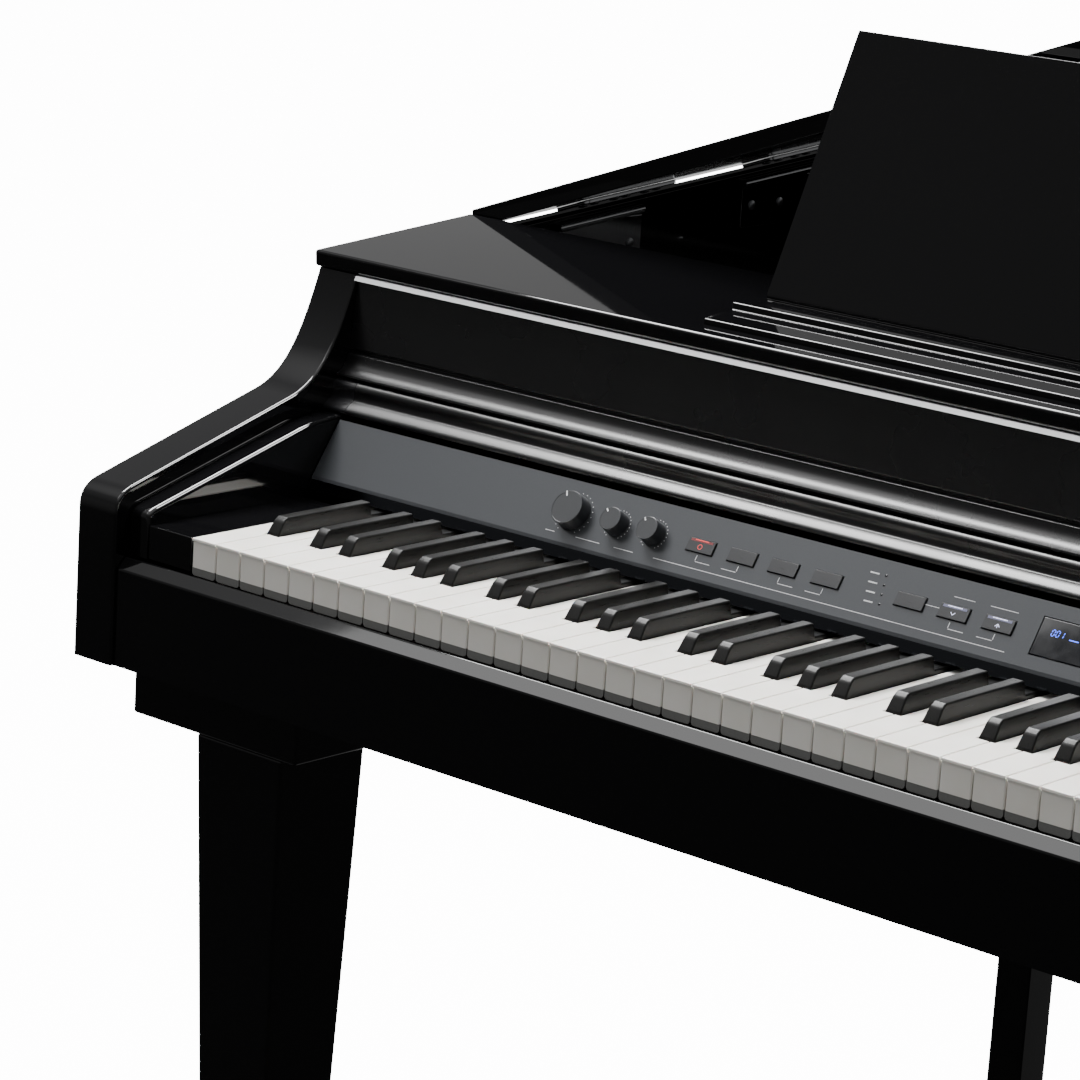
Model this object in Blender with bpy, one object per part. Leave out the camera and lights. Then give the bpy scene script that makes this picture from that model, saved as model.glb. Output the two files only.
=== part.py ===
# Digital grand piano, open and ready to play. Metres, +Z up, the player sits at -Y.
# Origin: on the floor, half way across and half way along the body.
import math

import bmesh
import bpy
from mathutils import Matrix, Vector

# Clearances
GAP = 0.0003
KEY_GAP = 0.001

# Overall sizes
KEY_TOP_HEIGHT = 0.712
BODY_DEPTH = 0.930
KEYBOARD_WIDTH = 1.225

# Keys
WHITE_KEYS = 52
WHITE_LENGTH = 0.205
WHITE_THICKNESS = 0.021
BLACK_START = 0.0515
BLACK_LENGTH = 0.0925
BLACK_WIDTH = 0.0115
BLACK_HEIGHT = 0.012
BLACK_DEPTH = 0.012
NOTCH_GAP = 0.0011
KEY_BAR = 0.020
KEY_PIVOT_Y = 0.230
KEY_PIVOT_Z = -0.010
BLACK_TAIL = (0.178, 0.225)
BLACK_TAIL_LOW = 0.004
BLACK_TAIL_HIGH = 0.010
BLACK_NECK_TOP = 0.003
BLACK_SHIFT = {"A": 0.0033, "C": -0.002, "D": 0.002, "F": -0.0033, "G": 0.0}
SINGLE_FIRST = 23
SINGLE_LAST = 29

# Case walls, measured from the front of the white keys and from their tops
ARM_REACH = 0.013
ARM_WIDTH = 0.039
ARM_LENGTH = 0.255
ARM_ROUND = 0.0022
CHEEK_WIDTH = 0.020
CHEEK_ROUND = 0.0035
KEY_BLOCK_WIDTH = 0.044
BED_THICKNESS = 0.018
BED_DROP = 0.105
SLIP_DROP = 0.0265
SLIP_SLOPE = 0.008
SLIP_THICKNESS = 0.020
RIM_THICKNESS = 0.018
TAIL_RADIUS = 0.060
SIDE_RADIUS = 0.100
TAIL_END_X = -0.060
BENT_DROP = 0.270
DECK_Z = 0.095
DECK_THICKNESS = 0.009

# Sloping top: board, lid, music desk
BOARD_FRONT_Y = 0.2157
BOARD_FRONT_Z = 0.1666
BOARD_SLOPE = math.radians(4.68)
BOARD_DEPTH = 0.170
BOARD_THICKNESS = 0.0125
TOP_OVERHANG = 0.004
LID_THICKNESS = 0.014
LID_GAP = 0.002
LID_OPEN = math.radians(19.8)
HINGE_LEAF = (0.034, 0.110, 0.003)
HINGE_PLACES = {"lid_hinge_front": 0.070, "lid_hinge_rear": 0.300}
DESK_WIDTH = 0.730
DESK_HEIGHT = 0.190
DESK_THICKNESS = 0.012
DESK_TAPER = 0.026
DESK_ANGLE = math.radians(71.0)
DESK_HINGE = 0.094
BASE_FRONT = 0.022
BASE_STEP = 0.052
BASE_BACK = 0.108
BASE_LOW = 0.004
BASE_HIGH = 0.010

# Prop stick
PROP_X = -0.080
PROP_Y = 0.800
PROP_LEAN = math.radians(45.0)
PROP_RADIUS = 0.007
PROP_WIDTH = 0.014
PROP_BLOCK = 0.020
PROP_BLOCK_LENGTH = 0.030
PROP_BLOCK_SLOPE = math.radians(25.0)
EAR_THICKNESS = 0.006
EAR_DEPTH = 0.024
EAR_HEIGHT = 0.018

# Control panel, in its own plane: across, up the face, out of the face
PANEL_LIP = (0.1597, 0.0140)
PANEL_TOP = (0.1861, 0.0531)
PANEL_RETURN = (0.1565, 0.0047)
PANEL_THICKNESS = 0.009
CONTROL_LINE = 0.0236
POCKET_DEPTH = 0.004
BUTTON_WIDTH = 0.0225
BUTTON_HEIGHT = 0.0095
BUTTON_RISE = 0.0013
BUTTON_TRAVEL = 0.001
BUTTON_GAP = 0.0006
BUTTONS = {
    "record_button": 0.3105,
    "play_button": 0.3460,
    "metronome_button": 0.3808,
    "rhythm_button": 0.4166,
    "function_button": 0.4841,
    "tempo_down_button": 0.5185,
    "tempo_up_button": 0.5532,
}
KNOBS = {
    "volume_knob": (0.1972, 0.0132, 27.0),
    "bass_knob": (0.2365, 0.0090, 43.0),
    "treble_knob": (0.2692, 0.0090, 36.0),
}
KNOB_HEIGHT = 0.0105
KNOB_POINTER = 0.0008
DISPLAY_LEFT = 0.5820
DISPLAY_WIDTH = 0.0780
DISPLAY_HEIGHT = 0.0260

# Upper panel and sliding key cover
COVER_SLOPE = math.atan(0.245)
COVER_DEPTH = 0.196
COVER_THICKNESS = 0.007
UPPER_TOP_GAP = 0.0012

# Legs and pedals
LEG_BLOCK = (0.164, 0.100, 0.041)
LEG_BLOCK_INSET = 0.031
LEG_INSET = 0.095
LEG_SETBACK = 0.020
LEG_TOP = 0.084
LEG_FOOT = 0.050
GLIDE_WIDTH = 0.036
GLIDE_HEIGHT = 0.006
REAR_LEG_Y = 0.780
LYRE_Y = 0.230
LYRE_WIDTH = 0.190
LYRE_POST = 0.026
LYRE_DEPTH = 0.030
LYRE_PLATE = 0.016
PEDAL_BOX = (0.260, 0.120, 0.070)
PEDAL_FLOOR_GAP = 0.045
PEDAL_PITCH = 0.066
PEDAL_WIDTH = 0.024
PEDAL_REACH = 0.105
PEDAL_INSIDE = 0.050
PEDAL_THICKNESS = 0.010
SPEAKER_RADIUS = 0.075
SPEAKER_DEPTH = 0.045
SPEAKER_X = 0.420
SPEAKER_Y = 0.380

# Worked out from the sizes above
PITCH = KEYBOARD_WIDTH / WHITE_KEYS
HALF_KEYS = KEYBOARD_WIDTH / 2
CHEEK_IN = HALF_KEYS + KEY_BLOCK_WIDTH
ARM_IN = CHEEK_IN + CHEEK_WIDTH
HALF_WIDTH = ARM_IN + ARM_WIDTH
FRONT_Y = -BODY_DEPTH / 2 + ARM_REACH
TAIL_Y = BODY_DEPTH / 2
BED_BOTTOM = KEY_TOP_HEIGHT - BED_DROP


def at(y, z):
    """World Y and Z of a place given from the key fronts and the key tops."""
    return FRONT_Y + y, KEY_TOP_HEIGHT + z


TOP_FRAME = (
    Matrix.Translation((0, *at(BOARD_FRONT_Y, BOARD_FRONT_Z)))
    @ Matrix.Rotation(BOARD_SLOPE, 4, "X")
)
PANEL_UP = Vector((0, PANEL_TOP[0] - PANEL_LIP[0], PANEL_TOP[1] - PANEL_LIP[1])).normalized()
PANEL_OUT = Vector((1, 0, 0)).cross(PANEL_UP)
PANEL_FRAME = Matrix.Translation((-HALF_KEYS, *at(*PANEL_LIP))) @ Matrix(
    (
        (1, PANEL_UP.x, PANEL_OUT.x, 0),
        (0, PANEL_UP.y, PANEL_OUT.y, 0),
        (0, PANEL_UP.z, PANEL_OUT.z, 0),
        (0, 0, 0, 1),
    )
)
COVER_WAY = Vector((0, -math.cos(COVER_SLOPE), -math.sin(COVER_SLOPE)))


def top_height(y, drop=0.0):
    """World height of the sloping top, or of a plane parallel to it, at world Y."""
    start = TOP_FRAME @ Vector((0, 0, -drop))
    return start.z + (y - start.y) * math.tan(BOARD_SLOPE)


def material(name, colour, roughness, metallic=0.0):
    made = bpy.data.materials.new(name)
    made.use_nodes = True
    shader = made.node_tree.nodes["Principled BSDF"]
    shader.inputs["Base Color"].default_value = (*colour, 1)
    shader.inputs["Roughness"].default_value = roughness
    shader.inputs["Metallic"].default_value = metallic
    return made


def clear_scene():
    for thing in list(bpy.data.objects):
        bpy.data.objects.remove(thing, do_unlink=True)


def finish(name, mesh_data, finish_material, origin=(0, 0, 0), frame=None, smooth=None):
    """Turns a bmesh into an object whose origin is at the given point of its frame."""
    bmesh.ops.recalc_face_normals(mesh_data, faces=mesh_data.faces)
    bmesh.ops.translate(mesh_data, verts=mesh_data.verts, vec=-Vector(origin))
    mesh = bpy.data.meshes.new(name)
    mesh_data.to_mesh(mesh)
    mesh_data.free()
    mesh.materials.append(finish_material)
    if smooth is not None:
        mesh.shade_smooth()
        mesh.set_sharp_from_angle(angle=math.radians(smooth))
    made = bpy.data.objects.new(name, mesh)
    bpy.context.scene.collection.objects.link(made)
    made.matrix_world = (frame or Matrix()) @ Matrix.Translation(origin)
    return made


def extruded(outline, axis, low, high, mesh_data=None):
    """A closed outline of 2-D points pushed along X, Y or Z. high may be a function of the point."""
    mesh_data = mesh_data or bmesh.new()
    place = {
        "X": lambda a, b, c: (c, a, b),
        "Y": lambda a, b, c: (a, c, b),
        "Z": lambda a, b, c: (a, b, c),
    }[axis]
    bottom = [mesh_data.verts.new(place(a, b, low)) for a, b in outline]
    top_of = high if callable(high) else lambda a, b: high
    top = [mesh_data.verts.new(place(a, b, top_of(a, b))) for a, b in outline]
    mesh_data.faces.new(bottom)
    mesh_data.faces.new(top[::-1])
    for i in range(len(outline)):
        j = (i + 1) % len(outline)
        mesh_data.faces.new((bottom[i], top[i], top[j], bottom[j]))
    return mesh_data


def block(low, high, mesh_data=None):
    outline = [(low[0], low[1]), (high[0], low[1]), (high[0], high[1]), (low[0], high[1])]
    return extruded(outline, "Z", low[2], high[2], mesh_data)


def turned(profile, sides=24):
    """A closed solid spun about Z from (radius, height) points that start and end on the axis."""
    mesh_data = bmesh.new()
    points = [mesh_data.verts.new((radius, 0, height)) for radius, height in profile]
    edges = [mesh_data.edges.new(pair) for pair in zip(points, points[1:])]
    bmesh.ops.spin(
        mesh_data, geom=points + edges, axis=(0, 0, 1), cent=(0, 0, 0),
        steps=sides, angle=math.tau, use_merge=True,
    )
    bmesh.ops.remove_doubles(mesh_data, verts=mesh_data.verts, dist=0.00001)
    return mesh_data


def curve_points(start, pull_start, pull_end, end, steps):
    """Points along a cubic curve, without its first one."""
    found = []
    for i in range(1, steps + 1):
        t = i / steps
        weights = ((1 - t) ** 3, 3 * t * (1 - t) ** 2, 3 * t * t * (1 - t), t ** 3)
        found.append(tuple(
            sum(w * p[axis] for w, p in zip(weights, (start, pull_start, pull_end, end)))
            for axis in (0, 1)
        ))
    return found


def rounded(mesh_data, width, segments=2, chosen=None):
    edges = [e for e in mesh_data.edges if chosen is None or chosen(e)]
    bmesh.ops.bevel(
        mesh_data, geom=edges, offset=width, offset_type="OFFSET", affect="EDGES",
        segments=segments, profile=0.5, material=-1,
    )
    return mesh_data


def boolean(base, cutter, operation):
    cutter.hide_render = True
    cutter.display_type = "WIRE"
    change = base.modifiers.new(operation.lower(), "BOOLEAN")
    change.operation = operation
    change.solver = "EXACT"
    change.object = cutter


# Body plan, seen from above
def body_path(shift=0.0, start=None):
    """The case's outer wall from its left front corner round the tail to its right one."""
    side = HALF_WIDTH + shift
    tail = TAIL_Y + min(shift, 0.0)
    radius = TAIL_RADIUS + shift
    corner = TAIL_Y - BENT_DROP + shift
    turn = SIDE_RADIUS + shift
    start = FRONT_Y + ARM_LENGTH + GAP if start is None else start
    path = [(-side, start), (-side, tail - radius)]
    for i in range(1, 9):
        angle = math.pi - i * math.pi / 16
        path.append((-side + radius + radius * math.cos(angle), tail - radius + radius * math.sin(angle)))
    sweep_end = side - turn
    steps = 20
    for i in range(steps + 1):
        t = i / steps
        x = TAIL_END_X + (sweep_end - TAIL_END_X) * t
        y = tail + (corner - tail) * t * t * (3 - 2 * t)
        path.append((x, y))
    for i in range(1, 9):
        angle = math.pi / 2 - i * math.pi / 16
        path.append((side - turn + turn * math.cos(angle), corner - turn + turn * math.sin(angle)))
    path.append((side, start))
    return path


def inner_path(thickness, start):
    """The outer wall's path moved inwards by a wall's thickness."""
    outer = body_path(start=start)
    moved = []
    for i, point in enumerate(outer):
        before = Vector(outer[max(i - 1, 0)])
        after = Vector(outer[min(i + 1, len(outer) - 1)])
        along = (after - before).normalized()
        if i in (0, len(outer) - 1):
            along = Vector((0, 1 if i == 0 else -1))
        inward = Vector((along.y, -along.x))
        moved.append((point[0] + inward.x * thickness, point[1] + inward.y * thickness))
    return moved


def build_case(lacquer, dark, metal):
    start = FRONT_Y + ARM_LENGTH + GAP
    outer = body_path(start=start)
    inner = inner_path(RIM_THICKNESS, start)
    rim_drop = BOARD_THICKNESS + GAP
    rim_top = lambda x, y: top_height(y, rim_drop)
    rim = extruded(outer + inner[::-1], "Z", BED_BOTTOM, rim_top)
    finish("case_rim", rim, lacquer, smooth=30)

    bed_top = BED_BOTTOM + BED_THICKNESS
    bed_edge = inner_path(RIM_THICKNESS + GAP, start)
    front = FRONT_Y + SLIP_THICKNESS - ARM_REACH + 0.003 + GAP
    arm_line = ARM_IN - GAP
    bed = [(arm_line, front), (arm_line, start)] + bed_edge[::-1]
    bed += [(-arm_line, start), (-arm_line, front)]
    finish("bottom_board", extruded(bed, "Z", BED_BOTTOM, bed_top), dark)

    deck_front = FRONT_Y + BOARD_FRONT_Y + BOARD_DEPTH + 0.012
    deck_low = KEY_TOP_HEIGHT + DECK_Z - DECK_THICKNESS
    deck_edge = inner_path(RIM_THICKNESS + GAP, deck_front)
    deck = extruded(deck_edge, "Z", deck_low, deck_low + DECK_THICKNESS)
    deck_object = finish("inner_deck", deck, dark)
    ears = bmesh.new()
    for side in (-1, 1):
        near = PROP_X + side * (PROP_WIDTH / 2 + GAP)
        far = near + side * EAR_THICKNESS
        pivot_y = FRONT_Y + PROP_Y
        block(
            (min(near, far), pivot_y - EAR_DEPTH / 2, deck_low + DECK_THICKNESS / 2),
            (max(near, far), pivot_y + EAR_DEPTH / 2, KEY_TOP_HEIGHT + DECK_Z + EAR_HEIGHT),
            ears,
        )
    boolean(deck_object, finish("prop_ears", ears, metal), "UNION")


def build_arms(lacquer):
    arm = [(-ARM_REACH, -BED_DROP), (-ARM_REACH, 0.004)]
    arm += curve_points(arm[-1], (-ARM_REACH, 0.013), (-0.009, 0.0195), (0.002, 0.0235), 5)
    arm.append((0.156, 0.0700))
    arm += curve_points(arm[-1], (0.184, 0.0785), (0.200, 0.103), (0.2175, 0.1535), 9)
    under_board = lambda y: top_height(FRONT_Y + y, BOARD_THICKNESS + GAP) - KEY_TOP_HEIGHT
    arm[-1] = (arm[-1][0], under_board(arm[-1][0]))
    arm += [(ARM_LENGTH, under_board(ARM_LENGTH)), (ARM_LENGTH, -BED_DROP)]
    cheek = [(0.0, -0.025), (0.0, 0.0035)]
    cheek += curve_points(cheek[-1], (0.0, 0.0080), (0.004, 0.0102), (0.012, 0.0122), 4)
    cheek.append((0.150, 0.0512))
    cheek += curve_points(cheek[-1], (0.163, 0.0547), (0.172, 0.0560), (0.190, 0.0563), 4)
    cheek.append((0.190, -0.025))
    key_block = [(0.0005, -0.025), (0.0005, -0.0005), (0.1530, -0.0005), (0.1530, -0.025)]
    top_edge = lambda e: (
        abs(e.verts[0].co.x - e.verts[1].co.x) < 1e-6
        and max(v.co.z for v in e.verts) > KEY_TOP_HEIGHT - 0.020
        and min(v.co.y for v in e.verts) < FRONT_Y + 0.188
        and max(v.co.y for v in e.verts) < FRONT_Y + 0.219
        and (abs(e.verts[0].co.y - e.verts[1].co.y) > 1e-6 or e.verts[0].co.y < FRONT_Y + 0.100)
    )
    parts = (
        ("arm_", arm, ARM_IN, HALF_WIDTH, ARM_ROUND),
        ("cheek_", cheek, CHEEK_IN + GAP, ARM_IN - GAP, CHEEK_ROUND),
        ("key_block_", key_block, HALF_KEYS + KEY_GAP, CHEEK_IN - GAP, 0.0),
    )
    for side, name in ((-1, "left"), (1, "right")):
        for prefix, profile, near, far, round_width in parts:
            outline = [at(y, z) for y, z in profile]
            solid = extruded(outline, "X", side * near, side * far)
            if round_width:
                rounded(solid, round_width, 2, top_edge)
            finish(prefix + name, solid, lacquer, smooth=40)


def build_front(lacquer, dark):
    slip_back = -0.002
    slip_front = slip_back - SLIP_SLOPE
    slip = [
        (slip_front, -BED_DROP), (slip_front, -SLIP_DROP - SLIP_SLOPE),
        (slip_front + 0.001, -SLIP_DROP - SLIP_SLOPE + 0.002),
        (slip_back - 0.001, -SLIP_DROP - 0.0005), (slip_back, -SLIP_DROP),
        (slip_back + 0.0012, -SLIP_DROP - 0.0008), (slip_back + 0.0012, -0.040),
        (slip_front + SLIP_THICKNESS - GAP, -0.040), (slip_front + SLIP_THICKNESS - GAP, -BED_DROP),
    ]
    span = ARM_IN - GAP
    finish("key_slip", extruded([at(y, z) for y, z in slip], "X", -span, span), lacquer, smooth=30)

    bed_top = -BED_DROP + BED_THICKNESS + GAP
    rear = WHITE_LENGTH + KEY_BAR
    frame = [
        (slip_front + SLIP_THICKNESS, bed_top), (slip_front + SLIP_THICKNESS, -0.040),
        (0.040, -0.040), (0.040, -0.060), (0.200, -0.060), (0.200, -0.030),
        (rear + 0.003, -0.030), (rear + 0.003, KEY_PIVOT_Z), (rear + GAP, KEY_PIVOT_Z),
        (rear + GAP, BLACK_TAIL_HIGH), (0.245, BLACK_TAIL_HIGH), (0.245, bed_top),
    ]
    key_frame = extruded([at(y, z) for y, z in frame], "X", -HALF_KEYS, HALF_KEYS)
    finish("key_frame", key_frame, dark)

    upper = [
        (0.2205, top_height(FRONT_Y + 0.2205, BOARD_THICKNESS + UPPER_TOP_GAP) - KEY_TOP_HEIGHT),
        (0.2192, 0.1520), (0.2140, 0.1010), (0.2140, 0.0995), (0.2165, 0.0985), (0.2165, 0.0975),
        (0.2120, 0.0965),
    ]
    upper += curve_points(upper[-1], (0.2110, 0.0900), (0.2070, 0.0850), (0.2010, 0.0830), 5)
    upper += [
        (0.2006, 0.0818), (0.2020, 0.0806), (0.2350, 0.0806),
        (0.2350, top_height(FRONT_Y + 0.2350, BOARD_THICKNESS + UPPER_TOP_GAP) - KEY_TOP_HEIGHT),
    ]
    finish("upper_panel", extruded([at(y, z) for y, z in upper], "X", -span, span), lacquer, smooth=40)


def moulding_profile():
    """The rounded front moulding shared by the key cover and its fixed end caps."""
    profile = [(0.1945, 0.0575)]
    profile += curve_points(profile[-1], (0.1922, 0.0580), (0.1918, 0.0625), (0.1948, 0.0642), 5)
    profile += curve_points(profile[-1], (0.1985, 0.0655), (0.2000, 0.0685), (0.2008, 0.0715), 4)
    profile += curve_points(profile[-1], (0.2000, 0.0755), (0.2030, 0.0785), (0.2070, 0.0785), 5)
    return profile


def build_cover(lacquer, gloss_trim):
    moulding = moulding_profile()
    along = Vector((math.cos(COVER_SLOPE), math.sin(COVER_SLOPE)))
    up = Vector((-along.y, along.x))
    foot = Vector((moulding[0][0] + 0.0015, moulding[0][1] + 0.0004))
    rear_low = foot + along * COVER_DEPTH
    rear_high = rear_low + up * COVER_THICKNESS
    neck = Vector((0.2145, 0.0))
    neck.y = (foot + up * COVER_THICKNESS + along * (neck.x - foot.x) / along.x).y
    shape = moulding + [(0.2105, 0.0775), tuple(neck), tuple(rear_high), tuple(rear_low), tuple(foot)]
    half = CHEEK_IN - GAP - 0.0025
    origin = (0, *at(*moulding[0]))
    cover = extruded([at(y, z) for y, z in shape], "X", -half, half)
    finish("key_cover", cover, lacquer, origin=origin, smooth=40)

    cap = moulding + [(0.2125, 0.0785), (0.2125, 0.0600), (0.2100, 0.0575)]
    for side, name in ((-1, "left"), (1, "right")):
        near = half + KEY_GAP / 2
        outline = [at(y, z) for y, z in cap]
        solid = extruded(outline, "X", side * near, side * (ARM_IN - GAP))
        finish("end_cap_" + name, solid, gloss_trim, smooth=40)


def build_top(lacquer):
    half = HALF_WIDTH + TOP_OVERHANG
    board = block((-half, 0, -BOARD_THICKNESS), (half, BOARD_DEPTH, 0))
    rounded(board, 0.0012, 2, lambda e: all(v.co.y < 0.001 or abs(v.co.x) > half - 0.001 for v in e.verts))
    finish("top_board", board, lacquer, frame=TOP_FRAME, smooth=40)

    thick = DESK_THICKNESS / 2
    trough = GAP + 0.0015
    hinge_high = trough + GAP + thick
    lean = Vector((math.cos(DESK_ANGLE), math.sin(DESK_ANGLE)))
    behind = Vector((DESK_HINGE, hinge_high)) + Vector((lean.y, -lean.x)) * (thick + GAP)
    stop_low = behind + lean * ((trough - behind.y) / lean.y)
    stop_high = behind + lean * ((BASE_HIGH + 0.004 - behind.y) / lean.y)
    base = [
        (BASE_FRONT, GAP), (BASE_FRONT, BASE_LOW), (BASE_STEP, BASE_LOW + 0.001),
        (BASE_STEP, BASE_HIGH), (BASE_STEP + 0.008, BASE_HIGH),
        (BASE_STEP + 0.009, BASE_LOW + 0.001),
        (DESK_HINGE - thick - GAP, BASE_LOW + 0.001), (DESK_HINGE - thick - GAP, trough),
        tuple(stop_low), tuple(stop_high), (BASE_BACK + 0.004, BASE_HIGH), (BASE_BACK + 0.006, GAP),
    ]
    rest = DESK_WIDTH / 2
    finish("desk_base", extruded(base, "X", -rest, rest), lacquer, frame=TOP_FRAME, smooth=30)

    hinge = TOP_FRAME @ Matrix.Translation((0, DESK_HINGE, hinge_high)) @ Matrix.Rotation(DESK_ANGLE, 4, "X")
    desk_half = rest - 0.002
    desk = bmesh.new()
    profile = [(-thick * math.sin(a), -thick * math.cos(a)) for a in [i * math.pi / 6 for i in range(7)]]
    rows = [[(x, y, z) for x in (-desk_half, desk_half)] for y, z in profile]
    top_half = desk_half - DESK_TAPER
    rows += [[(x, DESK_HEIGHT, z) for x in (-top_half, top_half)] for z in (thick, -thick)]
    verts = [[desk.verts.new(point) for point in row] for row in rows]
    for i in range(len(verts)):
        one, two = verts[i], verts[(i + 1) % len(verts)]
        desk.faces.new((one[0], one[1], two[1], two[0]))
    desk.faces.new([row[0] for row in verts])
    desk.faces.new([row[1] for row in verts][::-1])
    finish("music_desk", desk, lacquer, frame=hinge, smooth=30)


def lid_frame():
    hinge_x = -(HALF_WIDTH + TOP_OVERHANG)
    hinge = TOP_FRAME @ Matrix.Translation((hinge_x, 0, -BOARD_THICKNESS))
    return hinge @ Matrix.Rotation(-LID_OPEN, 4, "Y")


def build_lid(lacquer, metal):
    """The lid lies in its own frame: X from the hinge, Y up the slope, Z out of its underside."""
    hinge_x = -(HALF_WIDTH + TOP_OVERHANG)
    slope = math.cos(BOARD_SLOPE)
    front = BOARD_DEPTH + LID_GAP
    start_y = FRONT_Y + BOARD_FRONT_Y
    local_front = start_y + front * slope
    path = body_path(TOP_OVERHANG, start=local_front)
    outline = [(x - hinge_x, (y - start_y) / slope) for x, y in path]
    lid = extruded(outline, "Z", 0, LID_THICKNESS)
    spine = LID_THICKNESS * math.tan(LID_OPEN)
    for vert in lid.verts:
        if vert.co.z > LID_THICKNESS / 2:
            vert.co.x = max(vert.co.x, spine)
    frame = lid_frame()
    lid_object = finish("lid", lid, lacquer, frame=frame, smooth=30)

    pivot = Vector((PROP_X, *at(PROP_Y, DECK_Z + PROP_RADIUS + GAP)))
    lean = Vector((0, -math.sin(PROP_LEAN), math.cos(PROP_LEAN)))
    facing = frame.to_3x3() @ Vector((0, 0, 1))
    reach = (facing.dot(frame.translation - pivot) - PROP_BLOCK) / facing.dot(lean)
    tip = PROP_RADIUS * math.hypot(facing.y, facing.z) + abs(facing.x) * PROP_WIDTH / 2 + GAP
    length = reach - tip / facing.dot(lean)
    spot = frame.inverted() @ (pivot + lean * reach)
    near = spot.y + PROP_BLOCK_LENGTH * 0.45
    far = spot.y - PROP_BLOCK_LENGTH * 0.55
    drop = PROP_BLOCK_LENGTH * 0.55 * math.tan(PROP_BLOCK_SLOPE)
    section = [
        (near, 0.002), (near, -PROP_BLOCK + GAP), (spot.y + 0.002, -PROP_BLOCK + GAP),
        (far, -PROP_BLOCK + drop), (far, 0.002),
    ]
    cup = extruded(section, "X", spot.x - PROP_WIDTH, spot.x + PROP_WIDTH)
    boolean(lid_object, finish("prop_cup", cup, metal, frame=frame), "UNION")

    stick = bmesh.new()
    steps = 6
    outline = []
    for i in range(steps + 1):
        angle = math.pi + i * math.pi / steps
        outline.append((PROP_RADIUS * math.cos(angle), PROP_RADIUS * math.sin(angle)))
    for i in range(steps + 1):
        angle = i * math.pi / steps
        outline.append((PROP_RADIUS * math.cos(angle), length + PROP_RADIUS * math.sin(angle)))
    extruded(outline, "X", -PROP_WIDTH / 2, PROP_WIDTH / 2, stick)
    stick_frame = Matrix.Translation(pivot) @ Matrix.Rotation(PROP_LEAN, 4, "X")
    finish("prop_stick", stick, metal, frame=stick_frame, smooth=40)

    leaf_width, leaf_length, leaf_thickness = HINGE_LEAF
    offset = TOP_OVERHANG + RIM_THICKNESS + 0.004
    for name, along in HINGE_PLACES.items():
        low = front + along
        leaf = block((offset, low, -GAP - leaf_thickness), (offset + leaf_width, low + leaf_length, -GAP))
        finish(name, leaf, metal, frame=frame)


def build_panel(satin, glass, rubber, white_line):
    lip, top, back = PANEL_LIP, PANEL_TOP, PANEL_RETURN
    inward = (-PANEL_OUT.y * PANEL_THICKNESS, -PANEL_OUT.z * PANEL_THICKNESS)
    section = [
        back, (lip[0] - 0.0004, lip[1] - 0.0015),
        (lip[0] + PANEL_UP.y * 0.001, lip[1] + PANEL_UP.z * 0.001), top,
        (top[0] + inward[0], top[1] + inward[1]), (lip[0] + inward[0], lip[1] + inward[1]),
        (back[0] + 0.0060, back[1] + 0.0006),
    ]
    half = CHEEK_IN - 2 * GAP
    panel = extruded([at(y, z) for y, z in section], "X", -half, half)
    panel_object = finish("control_panel", panel, satin)
    pockets = bmesh.new()
    sizes = [(x, BUTTON_WIDTH, BUTTON_HEIGHT) for x in BUTTONS.values()]
    sizes.append((DISPLAY_LEFT + DISPLAY_WIDTH / 2, DISPLAY_WIDTH, DISPLAY_HEIGHT))
    for x, width, height in sizes:
        block(
            (x - width / 2 - BUTTON_GAP, CONTROL_LINE - height / 2 - BUTTON_GAP, -POCKET_DEPTH),
            (x + width / 2 + BUTTON_GAP, CONTROL_LINE + height / 2 + BUTTON_GAP, 0.002),
            pockets,
        )
    boolean(panel_object, finish("panel_pockets", pockets, satin, frame=PANEL_FRAME), "DIFFERENCE")

    floor_z = -POCKET_DEPTH + GAP
    for name, x in BUTTONS.items():
        low = floor_z + BUTTON_TRAVEL
        button = block(
            (x - BUTTON_WIDTH / 2, CONTROL_LINE - BUTTON_HEIGHT / 2, low),
            (x + BUTTON_WIDTH / 2, CONTROL_LINE + BUTTON_HEIGHT / 2, BUTTON_RISE),
        )
        rounded(button, 0.0004, 1, lambda e: all(v.co.z > BUTTON_RISE - 1e-5 for v in e.verts))
        finish(name, button, rubber, origin=(x, CONTROL_LINE, low), frame=PANEL_FRAME)
    window = block(
        (DISPLAY_LEFT, CONTROL_LINE - DISPLAY_HEIGHT / 2, floor_z),
        (DISPLAY_LEFT + DISPLAY_WIDTH, CONTROL_LINE + DISPLAY_HEIGHT / 2, 0.0002),
    )
    finish("display_window", window, glass, frame=PANEL_FRAME)

    for name, (x, radius, turn) in KNOBS.items():
        knob = turned([
            (0, GAP), (radius * 0.96, GAP), (radius, GAP + 0.001), (radius * 0.98, KNOB_HEIGHT - 0.0006),
            (radius * 0.94, KNOB_HEIGHT), (0, KNOB_HEIGHT),
        ])
        frame = PANEL_FRAME @ Matrix.Translation((x, CONTROL_LINE, 0))
        knob_object = finish(name, knob, rubber, frame=frame, smooth=35)
        groove = block(
            (-KNOB_POINTER, radius * 0.55, KNOB_HEIGHT - 0.0004),
            (KNOB_POINTER, radius * 0.90, KNOB_HEIGHT + 0.001),
        )
        bmesh.ops.rotate(
            groove, verts=groove.verts, cent=(0, 0, 0), matrix=Matrix.Rotation(math.radians(turn), 3, "Z")
        )
        boolean(knob_object, finish(name + "_groove", groove, white_line, frame=frame), "DIFFERENCE")


# Keys: the outline of each white key follows the black keys beside it
def black_after(i):
    """Middle of the black key after white key i, or None."""
    letter = "ABCDEFG"[i % 7]
    if i < 0 or i >= WHITE_KEYS - 1 or letter not in BLACK_SHIFT:
        return None
    return (i + 1) * PITCH + BLACK_SHIFT[letter]


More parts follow.
